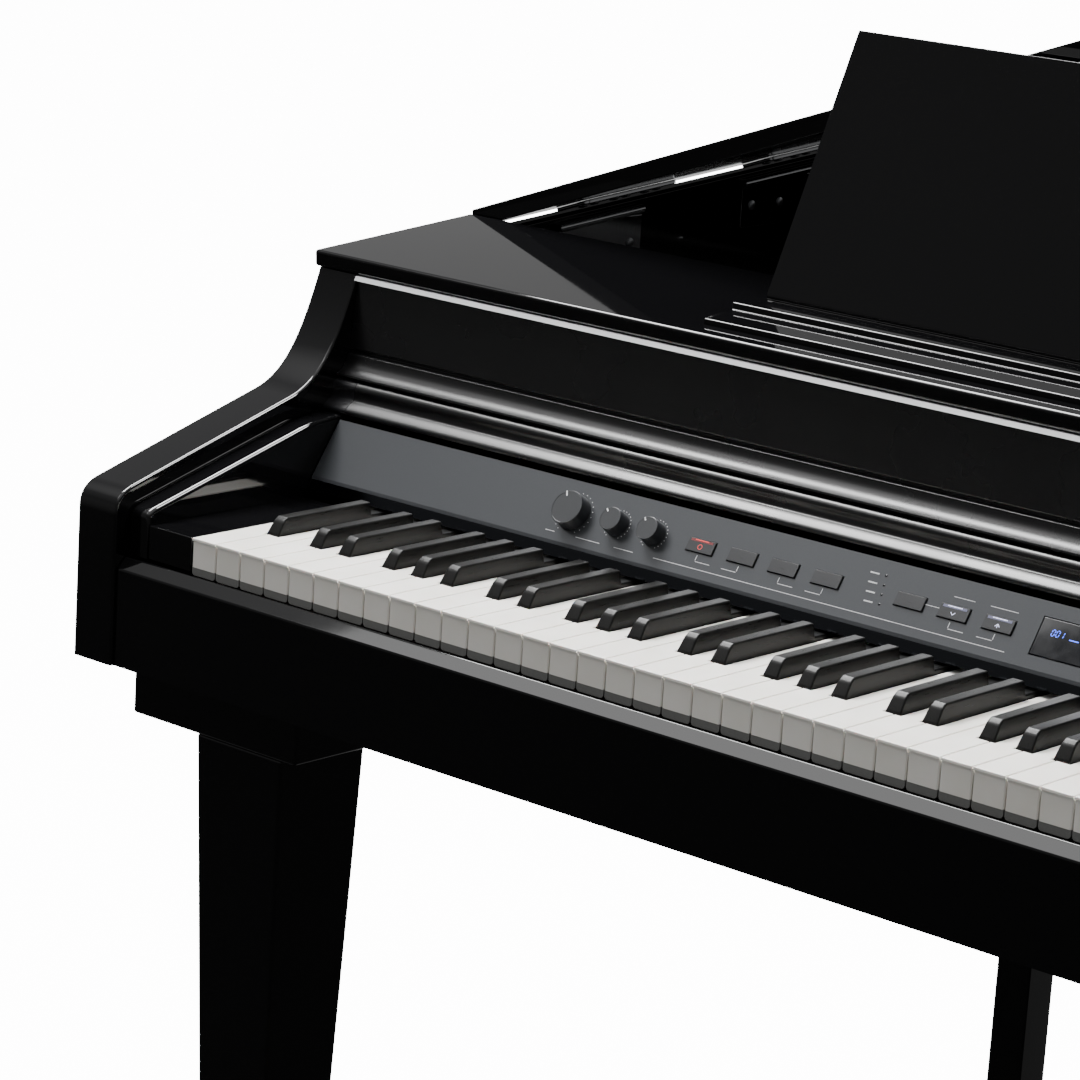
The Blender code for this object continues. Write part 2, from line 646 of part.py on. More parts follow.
def right_side(i, rear):
    edge = (i + 1) * PITCH - KEY_GAP / 2
    black = black_after(i)
    if black is None:
        return [(edge, 0), (edge, rear)]
    cut = black - BLACK_WIDTH / 2 - NOTCH_GAP
    return [(edge, 0), (edge, BLACK_START - NOTCH_GAP), (cut, BLACK_START - NOTCH_GAP), (cut, rear)]


def left_side(i, rear):
    edge = i * PITCH + KEY_GAP / 2
    black = black_after(i - 1)
    if black is None:
        return [(edge, rear), (edge, 0)]
    cut = black + BLACK_WIDTH / 2 + NOTCH_GAP
    return [(cut, rear), (cut, BLACK_START - NOTCH_GAP), (edge, BLACK_START - NOTCH_GAP), (edge, 0)]


def white_bank(name, first, last, ivory):
    """White keys first to last, joined at the back by one bar. One key is a bank of its own."""
    rear = WHITE_LENGTH + KEY_BAR
    outline = left_side(first, rear)
    for i in range(first, last + 1):
        outline += right_side(i, rear if i == last else WHITE_LENGTH)
        if i < last:
            outline += left_side(i + 1, WHITE_LENGTH)
    outline = [(x - HALF_KEYS, FRONT_Y + y) for x, y in outline]
    low = KEY_TOP_HEIGHT - WHITE_THICKNESS
    origin = (0, *at(KEY_PIVOT_Y, KEY_PIVOT_Z))
    finish(name, extruded(outline, "Z", low, KEY_TOP_HEIGHT), ivory, origin=origin)


def black_solid(middle, mesh_data):
    """One black key: a sloping front, a low neck under the control panel and a raised tail."""
    end = BLACK_START + BLACK_LENGTH
    tail, rear = BLACK_TAIL
    profile = [
        (BLACK_START, -BLACK_DEPTH), (BLACK_START, 0.0005), (BLACK_START + 0.0055, BLACK_HEIGHT - 0.0025),
        (BLACK_START + 0.0095, BLACK_HEIGHT), (end, BLACK_HEIGHT), (end, BLACK_NECK_TOP),
        (tail, BLACK_NECK_TOP), (tail, BLACK_TAIL_HIGH), (rear, BLACK_TAIL_HIGH),
        (rear, BLACK_TAIL_LOW), (tail + 0.012, BLACK_TAIL_LOW), (tail + 0.012, -BLACK_DEPTH),
    ]
    outline = [at(y, z) for y, z in profile]
    low = middle - BLACK_WIDTH / 2 - HALF_KEYS
    return extruded(outline, "X", low, low + BLACK_WIDTH, mesh_data)


def black_bank(name, middles, ebony):
    origin = (0, *at(KEY_PIVOT_Y, KEY_PIVOT_Z))
    if len(middles) == 1:
        finish(name, black_solid(middles[0], bmesh.new()), ebony, origin=origin)
        return
    low_y, low_z = at(BLACK_TAIL[1] - 0.014, BLACK_TAIL_LOW + 0.001)
    high_y, high_z = at(BLACK_TAIL[1] - 0.002, BLACK_TAIL_HIGH - 0.001)
    bar = block(
        (middles[0] - HALF_KEYS, low_y, low_z), (middles[-1] - HALF_KEYS, high_y, high_z)
    )
    bank = finish(name, bar, ebony, origin=origin)
    keys = bmesh.new()
    for middle in middles:
        black_solid(middle, keys)
    boolean(bank, finish(name + "_keys", keys, ebony), "UNION")


def build_keys(ivory, ebony):
    white_bank("white_keys_low", 0, SINGLE_FIRST - 1, ivory)
    white_bank("white_keys_high", SINGLE_LAST + 1, WHITE_KEYS - 1, ivory)
    blacks = [i for i in range(WHITE_KEYS - 1) if black_after(i) is not None]
    black_bank("black_keys_low", [black_after(i) for i in blacks if i < SINGLE_FIRST], ebony)
    black_bank("black_keys_high", [black_after(i) for i in blacks if i > SINGLE_LAST], ebony)
    for i in range(SINGLE_FIRST, SINGLE_LAST + 1):
        letter = "abcdefg"[i % 7]
        white_bank("key_" + letter, i, i, ivory)
        if black_after(i) is not None:
            black_bank("key_" + letter + "_sharp", [black_after(i)], ebony)


def build_legs(lacquer):
    width, depth, height = LEG_BLOCK
    block_top = BED_BOTTOM - GAP
    leg_top = block_top - height
    spots = (
        ("leg_front_left", -(HALF_WIDTH - LEG_BLOCK_INSET), 1, FRONT_Y + LEG_SETBACK),
        ("leg_front_right", HALF_WIDTH - LEG_BLOCK_INSET, -1, FRONT_Y + LEG_SETBACK),
        ("leg_rear", -width / 2 + TAIL_END_X, 1, FRONT_Y + REAR_LEG_Y),
    )
    for name, edge, side, front in spots:
        leg = bmesh.new()
        middle_x = edge + side * (LEG_INSET - LEG_BLOCK_INSET + LEG_TOP / 2)
        middle_y = front + LEG_TOP / 2
        levels = (
            (0, GLIDE_WIDTH / 2), (GLIDE_HEIGHT, GLIDE_WIDTH / 2),
            (GLIDE_HEIGHT, LEG_FOOT / 2), (leg_top, LEG_TOP / 2),
        )
        rings = []
        for z, half in levels:
            rings.append([
                leg.verts.new((middle_x + sx * half, middle_y + sy * half, z))
                for sx, sy in ((-1, -1), (1, -1), (1, 1), (-1, 1))
            ])
        back = max(front + depth, middle_y + LEG_TOP / 2 + 0.002)
        low, high = min(edge, edge + side * width), max(edge, edge + side * width)
        corners = ((low, front - 0.002), (high, front - 0.002), (high, back), (low, back))
        for z in (leg_top, block_top):
            rings.append([leg.verts.new((x, y, z)) for x, y in corners])
        for one, two in zip(rings, rings[1:]):
            for i in range(4):
                j = (i + 1) % 4
                leg.faces.new((one[i], one[j], two[j], two[i]))
        leg.faces.new(rings[0])
        leg.faces.new(rings[-1])
        finish(name, leg, lacquer)


def build_pedals(lacquer, brass):
    width, depth, height = PEDAL_BOX
    box_low = PEDAL_FLOOR_GAP
    box_high = box_low + height
    middle_y = FRONT_Y + LYRE_Y
    half = LYRE_WIDTH / 2
    outer = [
        (-half, BED_BOTTOM - GAP), (-half, BED_BOTTOM - GAP - LYRE_PLATE),
        (-half + 0.030, BED_BOTTOM - GAP - LYRE_PLATE), (-half + 0.030, box_high + GAP),
        (half - 0.030, box_high + GAP), (half - 0.030, BED_BOTTOM - GAP - LYRE_PLATE),
        (half, BED_BOTTOM - GAP - LYRE_PLATE), (half, BED_BOTTOM - GAP),
    ]
    lyre = extruded(outer, "Y", middle_y - LYRE_DEPTH / 2, middle_y + LYRE_DEPTH / 2)
    lyre_object = finish("pedal_lyre", lyre, lacquer)
    inside = half - 0.030 - LYRE_POST
    slot = block(
        (-inside, middle_y - LYRE_DEPTH, box_high + 0.020),
        (inside, middle_y + LYRE_DEPTH, BED_BOTTOM - GAP - LYRE_PLATE),
    )
    boolean(lyre_object, finish("lyre_slot", slot, lacquer), "DIFFERENCE")

    pedal_z = box_low + height * 0.45
    slot_top = pedal_z + PEDAL_THICKNESS + 0.002
    box_front = middle_y - depth / 2
    box = block((-width / 2, box_front, box_low), (width / 2, middle_y + depth / 2, box_high))
    box_object = finish("pedal_box", box, lacquer)
    slots = bmesh.new()
    for i in (-1, 0, 1):
        x = i * PEDAL_PITCH
        block(
            (x - PEDAL_WIDTH / 2 - 0.002, box_front - 0.010, pedal_z - 0.016),
            (x + PEDAL_WIDTH / 2 + 0.002, box_front + PEDAL_INSIDE + 0.004, slot_top),
            slots,
        )
    boolean(box_object, finish("pedal_slots", slots, lacquer), "DIFFERENCE")

    for i, name in ((-1, "pedal_left"), (0, "pedal_middle"), (1, "pedal_right")):
        x = i * PEDAL_PITCH
        tip = box_front - PEDAL_REACH
        hub = PEDAL_WIDTH / 2 + 0.002 - GAP
        outline = [
            (x - hub, box_front + PEDAL_INSIDE + 0.003), (x - hub, box_front + PEDAL_INSIDE - 0.006),
            (x - 0.009, box_front + PEDAL_INSIDE - 0.008), (x - 0.009, box_front - 0.004),
        ]
        outline += curve_points(
            outline[-1], (x - PEDAL_WIDTH * 0.40, box_front - 0.030), (x - PEDAL_WIDTH / 2, tip + 0.045),
            (x - PEDAL_WIDTH / 2, tip + 0.018), 4,
        )
        for k in range(1, 8):
            angle = math.pi + k * math.pi / 8
            outline.append((x + PEDAL_WIDTH / 2 * math.cos(angle), tip + 0.018 + 0.018 * math.sin(angle)))
        outline += [(2 * x - px, py) for px, py in outline[7::-1]]
        pedal = extruded(outline, "Z", pedal_z, pedal_z + PEDAL_THICKNESS)
        origin = (x, box_front + PEDAL_INSIDE, pedal_z + PEDAL_THICKNESS / 2)
        finish(name, pedal, brass, origin=origin, smooth=30)


def build_speakers(dark):
    floor_z = BED_BOTTOM + BED_THICKNESS + GAP
    for side, name in ((-1, "speaker_left"), (1, "speaker_right")):
        speaker = turned([
            (0, 0), (SPEAKER_RADIUS, 0), (SPEAKER_RADIUS, 0.005), (SPEAKER_RADIUS * 0.90, 0.006),
            (SPEAKER_RADIUS * 0.45, SPEAKER_DEPTH * 0.6), (SPEAKER_RADIUS * 0.45, SPEAKER_DEPTH),
            (0, SPEAKER_DEPTH),
        ])
        place = Matrix.Translation((side * SPEAKER_X, FRONT_Y + SPEAKER_Y, floor_z))
        finish(name, speaker, dark, frame=place, smooth=30)


def main():
    clear_scene()
    lacquer = material("black_polyester_lacquer", (0.006, 0.006, 0.007), 0.05)
    dark = material("black_painted_board", (0.02, 0.02, 0.02), 0.5)
    satin = material("satin_grey_panel", (0.12, 0.12, 0.13), 0.4, 0.6)
    gloss_trim = material("black_gloss_plastic", (0.01, 0.01, 0.01), 0.1)
    rubber = material("grey_control_plastic", (0.05, 0.05, 0.055), 0.4)
    white_line = material("white_mark", (0.8, 0.8, 0.8), 0.5)
    glass = material("display_glass", (0.01, 0.01, 0.015), 0.05)
    ivory = material("white_key_plastic", (0.82, 0.81, 0.78), 0.2)
    ebony = material("black_key_plastic", (0.02, 0.02, 0.02), 0.4)
    metal = material("polished_chrome", (0.8, 0.8, 0.8), 0.1, 1.0)
    brass = material("polished_brass", (0.75, 0.55, 0.2), 0.15, 1.0)
    build_case(lacquer, dark, metal)
    build_arms(lacquer)
    build_front(lacquer, dark)
    build_cover(lacquer, gloss_trim)
    build_top(lacquer)
    build_lid(lacquer, metal)
    build_panel(satin, glass, rubber, white_line)
    build_keys(ivory, ebony)
    build_legs(lacquer)
    build_pedals(lacquer, brass)
    build_speakers(dark)


main()
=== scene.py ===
# Digital grand piano with its lid up, seen from the treble end of the keyboard.
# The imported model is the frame. Every piece below is built round it, in metres, in the same place.
import math

import bmesh
import bpy
from mathutils import Matrix, Vector


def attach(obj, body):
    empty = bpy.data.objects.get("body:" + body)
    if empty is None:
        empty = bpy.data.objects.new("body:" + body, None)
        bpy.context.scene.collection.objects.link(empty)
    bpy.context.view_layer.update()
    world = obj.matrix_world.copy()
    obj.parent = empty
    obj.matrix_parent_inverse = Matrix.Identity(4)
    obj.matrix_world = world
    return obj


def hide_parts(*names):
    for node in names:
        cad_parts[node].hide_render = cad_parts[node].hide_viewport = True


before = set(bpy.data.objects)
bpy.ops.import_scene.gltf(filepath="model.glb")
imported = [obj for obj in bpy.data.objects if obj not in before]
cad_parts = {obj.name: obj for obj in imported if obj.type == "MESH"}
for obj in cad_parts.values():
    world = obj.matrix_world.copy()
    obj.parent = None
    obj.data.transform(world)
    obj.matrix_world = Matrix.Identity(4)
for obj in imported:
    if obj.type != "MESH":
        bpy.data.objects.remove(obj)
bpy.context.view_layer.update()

# Where the key fronts and the key tops are in the frame, and which white keys move one by one
keys = {
    "frontY": -0.452, "topZ": 0.712, "width": 1.225, "count": 52, "gap": 0.001,
    "notchY": 0.0515, "blackWidth": 0.0115, "blackBack": 0.144, "blackHeight": 0.012,
    "firstSingle": 23, "lastSingle": 29,
    "blackShift": {"A": 0.0033, "C": -0.002, "D": 0.002, "F": -0.0033, "G": 0.0},
}
# Widths from the keys outwards, then the sloping top board and the lid hinged on the bass side
case = {
    "block": 0.044, "cheek": 0.020, "arm": 0.039, "bed": -0.105, "rim": 0.018, "tailY": 0.465,
    "boardY": 0.2157, "boardZ": 0.1666, "boardSlope": 4.68, "boardDepth": 0.170, "boardThick": 0.0125,
    "overhang": 0.004, "lidOpen": 19.8, "lidGap": 0.002,
}
clear = 0.0003  # left free between neighbours
tiny = 0.00001  # tolerance when edges are picked
pitch = keys["width"] / keys["count"]
halfKeys = keys["width"] / 2
cheekIn = halfKeys + case["block"]
armIn = cheekIn + case["cheek"]
halfWidth = armIn + case["arm"]
bedZ = keys["topZ"] + case["bed"]
boardY = keys["frontY"] + case["boardY"]
boardSlope = math.radians(case["boardSlope"])
lidFront = case["boardDepth"] + case["lidGap"]
lidOpen = math.radians(case["lidOpen"])
topFrame = (
    Matrix.Translation((0, boardY, keys["topZ"] + case["boardZ"]))
    @ Matrix.Rotation(boardSlope, 4, "X")
)
lidFrame = (
    topFrame @ Matrix.Translation((-halfWidth - case["overhang"], 0, -case["boardThick"]))
    @ Matrix.Rotation(-lidOpen, 4, "Y")
)


# Small helpers for meshes
def fromKeys(y, z):
    return keys["frontY"] + y, keys["topZ"] + z


def outlineFace(mesh, points):
    return mesh.faces.new([mesh.verts.new(p) for p in points])


def pushed(mesh, face, step):
    made = bmesh.ops.extrude_face_region(mesh, geom=[face])["geom"]
    bmesh.ops.translate(mesh, verts=[v for v in made if isinstance(v, bmesh.types.BMVert)], vec=step)
    return mesh


def profileAlongX(points, low, high):
    # points are (y, z) in the frame
    mesh = bmesh.new()
    return pushed(mesh, outlineFace(mesh, [(low, y, z) for y, z in points]), (high - low, 0, 0))


def keyProfile(points, low, high):
    # points are (back from the key fronts, up from the key tops)
    return profileAlongX([fromKeys(y, z) for y, z in points], low, high)


def profileAlongZ(points, low, high):
    mesh = bmesh.new()
    return pushed(mesh, outlineFace(mesh, [(x, y, low) for x, y in points]), (0, 0, high - low))


def boxMesh(low, high, mesh=None):
    mesh = mesh or bmesh.new()
    made = bmesh.ops.create_cube(mesh, size=1)["verts"]
    bmesh.ops.scale(mesh, verts=made, vec=Vector(high) - Vector(low))
    bmesh.ops.translate(mesh, verts=made, vec=(Vector(high) + Vector(low)) / 2)
    return mesh


def turnedMesh(profile, steps=48, place=None):
    # profile is (radius, height) from axis to axis, turned about Z
    mesh = bmesh.new()
    points = [mesh.verts.new((r, 0, h)) for r, h in profile]
    edges = [mesh.edges.new(pair) for pair in zip(points, points[1:])]
    bmesh.ops.spin(
        mesh, geom=points + edges, axis=(0, 0, 1), cent=(0, 0, 0),
        steps=steps, angle=math.tau, use_merge=True,
    )
    bmesh.ops.remove_doubles(mesh, verts=mesh.verts, dist=0.000004)
    if place is not None:
        bmesh.ops.transform(mesh, matrix=place, verts=mesh.verts)
    return mesh


def softened(mesh, width, segments=2, angle=25, chosen=None):
    mesh.normal_update()
    edges = [
        e for e in mesh.edges
        if len(e.link_faces) == 2 and e.calc_face_angle(0) > math.radians(angle)
        and (chosen is None or chosen(e))
    ]
    bmesh.ops.bevel(
        mesh, geom=edges, offset=width, offset_type="OFFSET", affect="EDGES",
        segments=segments, profile=0.5, material=-1, clamp_overlap=True,
    )
    return mesh


def lowEnd(edge):
    # the least x, y and z on an edge
    return Vector([min(pair) for pair in zip(*(v.co for v in edge.verts))])


def highEnd(edge):
    return Vector([max(pair) for pair in zip(*(v.co for v in edge.verts))])


def extent(edge):
    return highEnd(edge) - lowEnd(edge)


def curveTo(line, pullStart, pullEnd, end, steps):
    # carries a line of points on from its last point, along one curve
    pulls = (line[-1], pullStart, pullEnd, end)
    for i in range(1, steps + 1):
        t = i / steps
        weights = ((1 - t) ** 3, 3 * t * (1 - t) ** 2, 3 * t * t * (1 - t), t ** 3)
        line.append(tuple(sum(w * p[axis] for w, p in zip(weights, pulls)) for axis in (0, 1)))


def meshData(name, mesh):
    data = bpy.data.meshes.new(name)
    mesh.to_mesh(data)
    mesh.free()
    return data


def joined(mesh, extra):
    data = meshData("extra", extra)
    mesh.from_mesh(data)
    bpy.data.meshes.remove(data)
    return mesh


def shown(name, data):
    made = bpy.data.objects.new(name, data)
    bpy.context.scene.collection.objects.link(made)
    return made


def piece(name, mesh, finish, body="case", stands=None, matrix=None, smooth=35, slotted=False):
    if matrix is not None:
        bmesh.ops.transform(mesh, matrix=matrix, verts=mesh.verts)
    bmesh.ops.recalc_face_normals(mesh, faces=mesh.faces)
    data = meshData(name, mesh)
    data.materials.append(finish)
    made = shown(name, data)
    if smooth:
        data.shade_smooth()
        data.set_sharp_from_angle(angle=math.radians(smooth))
        # wide faces keep their own normal, so reflections on them stay straight
        firm = made.modifiers.new("flatFaces", "WEIGHTED_NORMAL")
        firm.keep_sharp, firm.weight = True, 75
    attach(made, body)
    if stands:
        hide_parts(stands)


# Materials
def linear(hexColour):
    parts = [int(hexColour[i:i + 2], 16) / 255 for i in (1, 3, 5)]
    return tuple(p / 12.92 if p <= 0.04045 else ((p + 0.055) / 1.055) ** 2.4 for p in parts) + (1,)


def node(tree, kind, inputs=None, **settings):
    made = tree.nodes.new(kind)
    for name, value in settings.items():
        setattr(made, name, value)
    for name, value in (inputs or {}).items():
        if isinstance(value, bpy.types.NodeSocket):
            tree.links.new(value, made.inputs[name])
        else:
            made.inputs[name].default_value = value
    return made


def newFinish(name, colour, roughness, metallic=0.0, **more):
    made = bpy.data.materials.new(name)
    made.use_nodes = True
    shader = made.node_tree.nodes["Principled BSDF"]
    shader.inputs["Base Color"].default_value = linear(colour)
    shader.inputs["Roughness"].default_value = roughness
    shader.inputs["Metallic"].default_value = metallic
    for socket, value in more.items():
        shader.inputs[socket.replace("_", " ")].default_value = value
    return made


def layer(finish, sizeMm, detail, fine=0.5, stretch=None, tint=None, rough=None, bump=None):
    # one cloud of noise with features of that many millimetres drives what is given: the colour
    # between two tints, the roughness between two values, a bump of (strength, height in metres)
    tree = finish.node_tree
    shader = tree.nodes["Principled BSDF"]
    place = node(tree, "ShaderNodeTexCoord").outputs["Object"]
    if stretch:
        place = node(tree, "ShaderNodeMapping", {"Vector": place, "Scale": stretch}).outputs["Vector"]
    noise = node(tree, "ShaderNodeTexNoise", {
        "Vector": place, "Scale": 1000 / sizeMm, "Detail": detail, "Roughness": fine}).outputs["Fac"]
    for socket, ends in (("Base Color", (0, 1) if tint else None), ("Roughness", rough)):
        if ends is None:
            continue
        value = node(tree, "ShaderNodeMapRange", {
            "Value": noise, "From Min": 0.3, "From Max": 0.7, "To Min": ends[0], "To Max": ends[1],
        }).outputs["Result"]
        if socket == "Base Color":
            # the mix node repeats socket names for each data type, so its colour sockets go by number
            value = node(tree, "ShaderNodeMix", {0: value, 6: linear(tint[0]), 7: linear(tint[1])},
                         data_type="RGBA").outputs[2]
        tree.links.new(value, shader.inputs[socket])
    if bump:
        skin = node(tree, "ShaderNodeBump", {"Height": noise, "Strength": bump[0], "Distance": bump[1]})
        tree.links.new(skin.outputs["Normal"], shader.inputs["Normal"])


def plastic(name, dark, light, roughness, grainMm=0.6):
    # moulded plastic: the fine spark texture of its mould breaks up the highlight
    made = newFinish(name, dark, roughness)
    layer(made, grainMm, 2, tint=(dark, light), bump=(0.18, 0.00006))
    return made


def metal(name, colour, roughness, along=(1, 1, 0.04)):
    # rolled or drawn metal, polished: hairlines run along it and soften the mirror
    made = newFinish(name, colour, roughness, 1.0)
    layer(made, 0.5, 3, stretch=along, rough=(roughness * 0.7, roughness * 1.6), bump=(0.05, 0.00003))
    return made


def lamp(name, colour, strength):
    # a lamp behind a dark diffusing lens: only its own light shows, flat and even
    made = newFinish(name, "#1c1c1f", 0.3, Emission_Strength=strength, Emission_Color=linear(colour))
    layer(made, 1.5, 1, rough=(0.25, 0.4))
    return made


# polyester lacquer on board, sprayed thick, sanded and buffed: a deep black mirror with a barely
# rippled skin and faint cloudy wiping marks
lacquer = newFinish("blackPolyesterLacquer", "#080809", 0.035, IOR=1.52)
layer(lacquer, 90, 4, fine=0.55, rough=(0.022, 0.060))
layer(lacquer, 9, 1, bump=(0.05, 0.00006))

# the same lacquer rubbed down with fine wool on the mouldings: highlights spread into soft grey bands
satinLacquer = newFinish("rubbedPolyesterLacquer", "#0b0b0c", 0.27, IOR=1.52)
layer(satinLacquer, 70, 3, rough=(0.25, 0.30))

# fibreboard rolled with matt black paint: flat, slightly stippled, a little dusty
paintedBoard = newFinish("mattPaintedBoard", "#141414", 0.62)
layer(paintedBoard, 60, 6, fine=0.6, tint=("#0e0e0e", "#1c1c1b"))
layer(paintedBoard, 1.5, 2, bump=(0.35, 0.0001))

# aluminium sheet, bead blasted and anodised dark grey: an even satin with a very fine sparkle
panelGrey = newFinish("blastedAnodisedAluminium", "#3a3c3f", 0.34, 0.35)
layer(panelGrey, 0.7, 2, fine=0.6, tint=("#383a3d", "#3d3f42"), rough=(0.32, 0.37), bump=(0.05, 0.00003))

# clear-anodised aluminium moulding: pale, satin, with faint drawing lines along it
satinStrip = newFinish("clearAnodisedAluminium", "#e4e5e6", 0.36, 0.35)
layer(satinStrip, 0.4, 2, stretch=(0.02, 1, 1), rough=(0.32, 0.42))

# acrylic key tops, moulded and polished: warm white, light goes a little way in
ivory = newFinish("mouldedAcrylicKeyTop", "#efece5", 0.2, Subsurface_Weight=0.06, Subsurface_Scale=0.002)
layer(ivory, 35, 3, tint=("#ebe8e0", "#f2efe9"), rough=(0.16, 0.27))

# textured acrylic key with an ebony grain: matt black, fine streaks along its length
ebony = newFinish("ebonyGrainKey", "#0c0c0c", 0.36, Specular_IOR_Level=0.18)
layer(ebony, 0.9, 4, fine=0.65, stretch=(1, 0.05, 1),
      tint=("#0a0a0a", "#141413"), rough=(0.26, 0.38), bump=(0.15, 0.00005))

# pressed wool felt: fully matt with a fuzzy, uneven nap
redFelt = newFinish("redWoolFelt", "#4a0f12", 0.95, Sheen_Weight=0.4, Sheen_Roughness=0.6)
layer(redFelt, 1.2, 5, fine=0.7, tint=("#4a0f12", "#6a1a1c"), bump=(0.8, 0.0004))

# screen printed ink: flat pale grey with slightly uneven cover
paleInk = newFinish("screenPrintedInk", "#c9cacb", 0.5)
layer(paleInk, 0.8, 2, tint=("#bdbebf", "#d4d5d6"))

# smoked acrylic over the display: black and glossy; its faint blue is painted glow from the lit display panel
# behind it
smoked = newFinish("smokedAcrylic", "#04060c", 0.06, IOR=1.49)
layer(smoked, 12, 3, rough=(0.04, 0.12))

# pressed paper cone: fibrous, soft black
paperCone = newFinish("pressedPaperCone", "#191918", 0.85)
layer(paperCone, 2, 6, fine=0.75, tint=("#121211", "#242422"), bump=(0.5, 0.0002))

# metals
lipGloss = metal("polishedAnodisedLip", "#3c3e42", 0.12, (0.02, 1, 1))  # buffed edge, a dark mirror
chrome = metal("platedChrome", "#c8c9cb", 0.09)  # a bright, clean mirror
brass = metal("polishedBrass", "#c9a460", 0.14, (1, 0.04, 1))  # cast and buffed, a warm mirror
steel = metal("zincPlatedSteel", "#9a9c9f", 0.28, (0.05, 1, 1))  # screws, dull silver
# plastics and rubber
glossPlastic = plastic("polishedStyrene", "#0b0b0c", "#101011", 0.12, 1.4)  # buffed, nearly a mirror
capPlastic = plastic("satinStyrene", "#121214", "#18181a", 0.24, 1.0)  # one soft highlight on black
knobPlastic = plastic("sparkedAbs", "#1c1e21", "#232528", 0.34)  # dark grey with a soft bright rim
buttonPlastic = plastic("satinAbs", "#1e1f21", "#242528", 0.42)  # even dark grey, hardly shines
darkPlastic = plastic("mouldedPolypropylene", "#121213", "#1b1b1c", 0.5)  # matt black marks
keyFootShade = plastic("keyFootPaintedShade", "#70706e", "#7a7a78", 0.45)  # flat mid grey: painted shade on the feet of the key fronts, where the key slip shades them
rubber = plastic("nitrileRubber", "#0e0e0e", "#171717", 0.7, 1.0)  # matt black, slightly powdery
# lamps, and painted light on the caps: a faint glow that stands for the light the lamps throw there
redLamp = lamp("redLightPipe", "#ff4038", 1.5)
whiteLamp = lamp("whiteLightPipe", "#dfe2ff", 2.2)
redPaintedSpill = lamp("redPaintedLightSpill", "#ff3838", 0.22)
whitePaintedSpill = lamp("whitePaintedLightSpill", "#c9ccff", 0.30)
blueLamp = lamp("bluePixelLight", "#4a6cff", 4.0)

# solids of the frame that stay in view
carriedOver = {
    "key_frame": paintedBoard, "bottom_board": paintedBoard, "control_panel": panelGrey,
    "speaker_left": paperCone, "speaker_right": paperCone,
}
for name, finish in carriedOver.items():
    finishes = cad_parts[name].data.materials
    finishes.clear()
    finishes.append(finish)
print("materials ready")


# Keys
whiteShape = {
    "length": 0.205, "thickness": 0.021, "edge": 0.0007, "noseEdge": 0.0011, "notchGap": 0.0011,
    "lip": 0.0020, "recess": 0.0008, "foot": 0.0056, "footDepth": 0.004, "footRound": 0.0022,
}
blackShape = {
    "sink": 0.012, "noseTop": 0.0092, "noseBack": 0.0055, "crownStart": 0.0092,
    "topWidth": 0.0094, "edge": 0.0012, "neckTop": 0.003, "rear": 0.190,
}
railFelt = {"front": 0.006, "back": 0.030, "low": -0.0395, "high": -0.0365}


def blackMiddle(i):
    letter = "ABCDEFG"[i % 7]
    if i < 0 or i >= keys["count"] - 1 or letter not in keys["blackShift"]:
        return None
    return (i + 1) * pitch + keys["blackShift"][letter]


def keyEdges(i):
    return i * pitch + keys["gap"] / 2, (i + 1) * pitch - keys["gap"] / 2


def sideOf(i, right):
    edge = keyEdges(i)[right]
    middle = blackMiddle(i if right else i - 1)
    if middle is None:
        return [(edge, 0), (edge, whiteShape["length"])]
    way = -1 if right else 1
    cut = middle + way * (keys["blackWidth"] / 2 + whiteShape["notchGap"])
    turn = keys["notchY"] - whiteShape["notchGap"]
    return [(edge, 0), (edge, turn), (cut, turn), (cut, whiteShape["length"])]


def whiteKey(i):
    outline = [(x - halfKeys, keys["frontY"] + y) for x, y in sideOf(i, True) + sideOf(i, False)[::-1]]
    front, under = keys["frontY"], keys["topZ"] - whiteShape["lip"]
    mesh = profileAlongZ(outline, under, keys["topZ"])
    softened(mesh, whiteShape["edge"], 2, 20, lambda e: lowEnd(e).z > keys["topZ"] - tiny)
    # the body stands back a little under the lip of the acrylic top
    body = [(x, max(y, front + whiteShape["recess"])) for x, y in outline]
    body = profileAlongZ(body, keys["topZ"] - whiteShape["thickness"], under + 0.0002)
    softened(body, whiteShape["noseEdge"], 3, 25, lambda e: (
        highEnd(e).y < front + 0.001 and extent(e).z > 0.01))
    return joined(mesh, body)


# the foot is the lower part of a white key's front; its grey is painted shade, the shadow of the key slip
def keyFoot(i):
    left, right = keyEdges(i)
    high = keys["topZ"] - whiteShape["thickness"]
    near = keys["frontY"] + whiteShape["recess"] + 0.0002
    mesh = boxMesh(
        (left - halfKeys + 0.0001, near, high - whiteShape["foot"]),
        (right - halfKeys - 0.0001, near + whiteShape["footDepth"], high + clear))
    return softened(mesh, whiteShape["footRound"], 4, 40, lambda e: (
        highEnd(e).z < high - 0.001 and extent(e).y > 0.001))


def blackKey(middle):
    s, front, back, high = blackShape, keys["notchY"], keys["blackBack"], keys["blackHeight"]
    profile = [
        (front, -s["sink"]), (front, 0.0005), (front + s["noseBack"], s["noseTop"]),
        (front + s["crownStart"], high), (back, high),
        (back + 0.001, s["neckTop"]), (s["rear"], s["neckTop"]), (s["rear"], -s["sink"]),
    ]
    x, half = middle - halfKeys, keys["blackWidth"] / 2
    mesh = keyProfile(profile, x - half, x + half)
    lowest, highest = keys["topZ"] + 0.0005, keys["topZ"] + high
    for vert in mesh.verts:
        share = min(max((vert.co.z - lowest) / (highest - lowest), 0), 1)
        vert.co.x = x + (vert.co.x - x) * (1 + (s["topWidth"] / keys["blackWidth"] - 1) * share)
    return softened(mesh, s["edge"], 3, 15, lambda e: lowEnd(e).z > lowest - tiny)


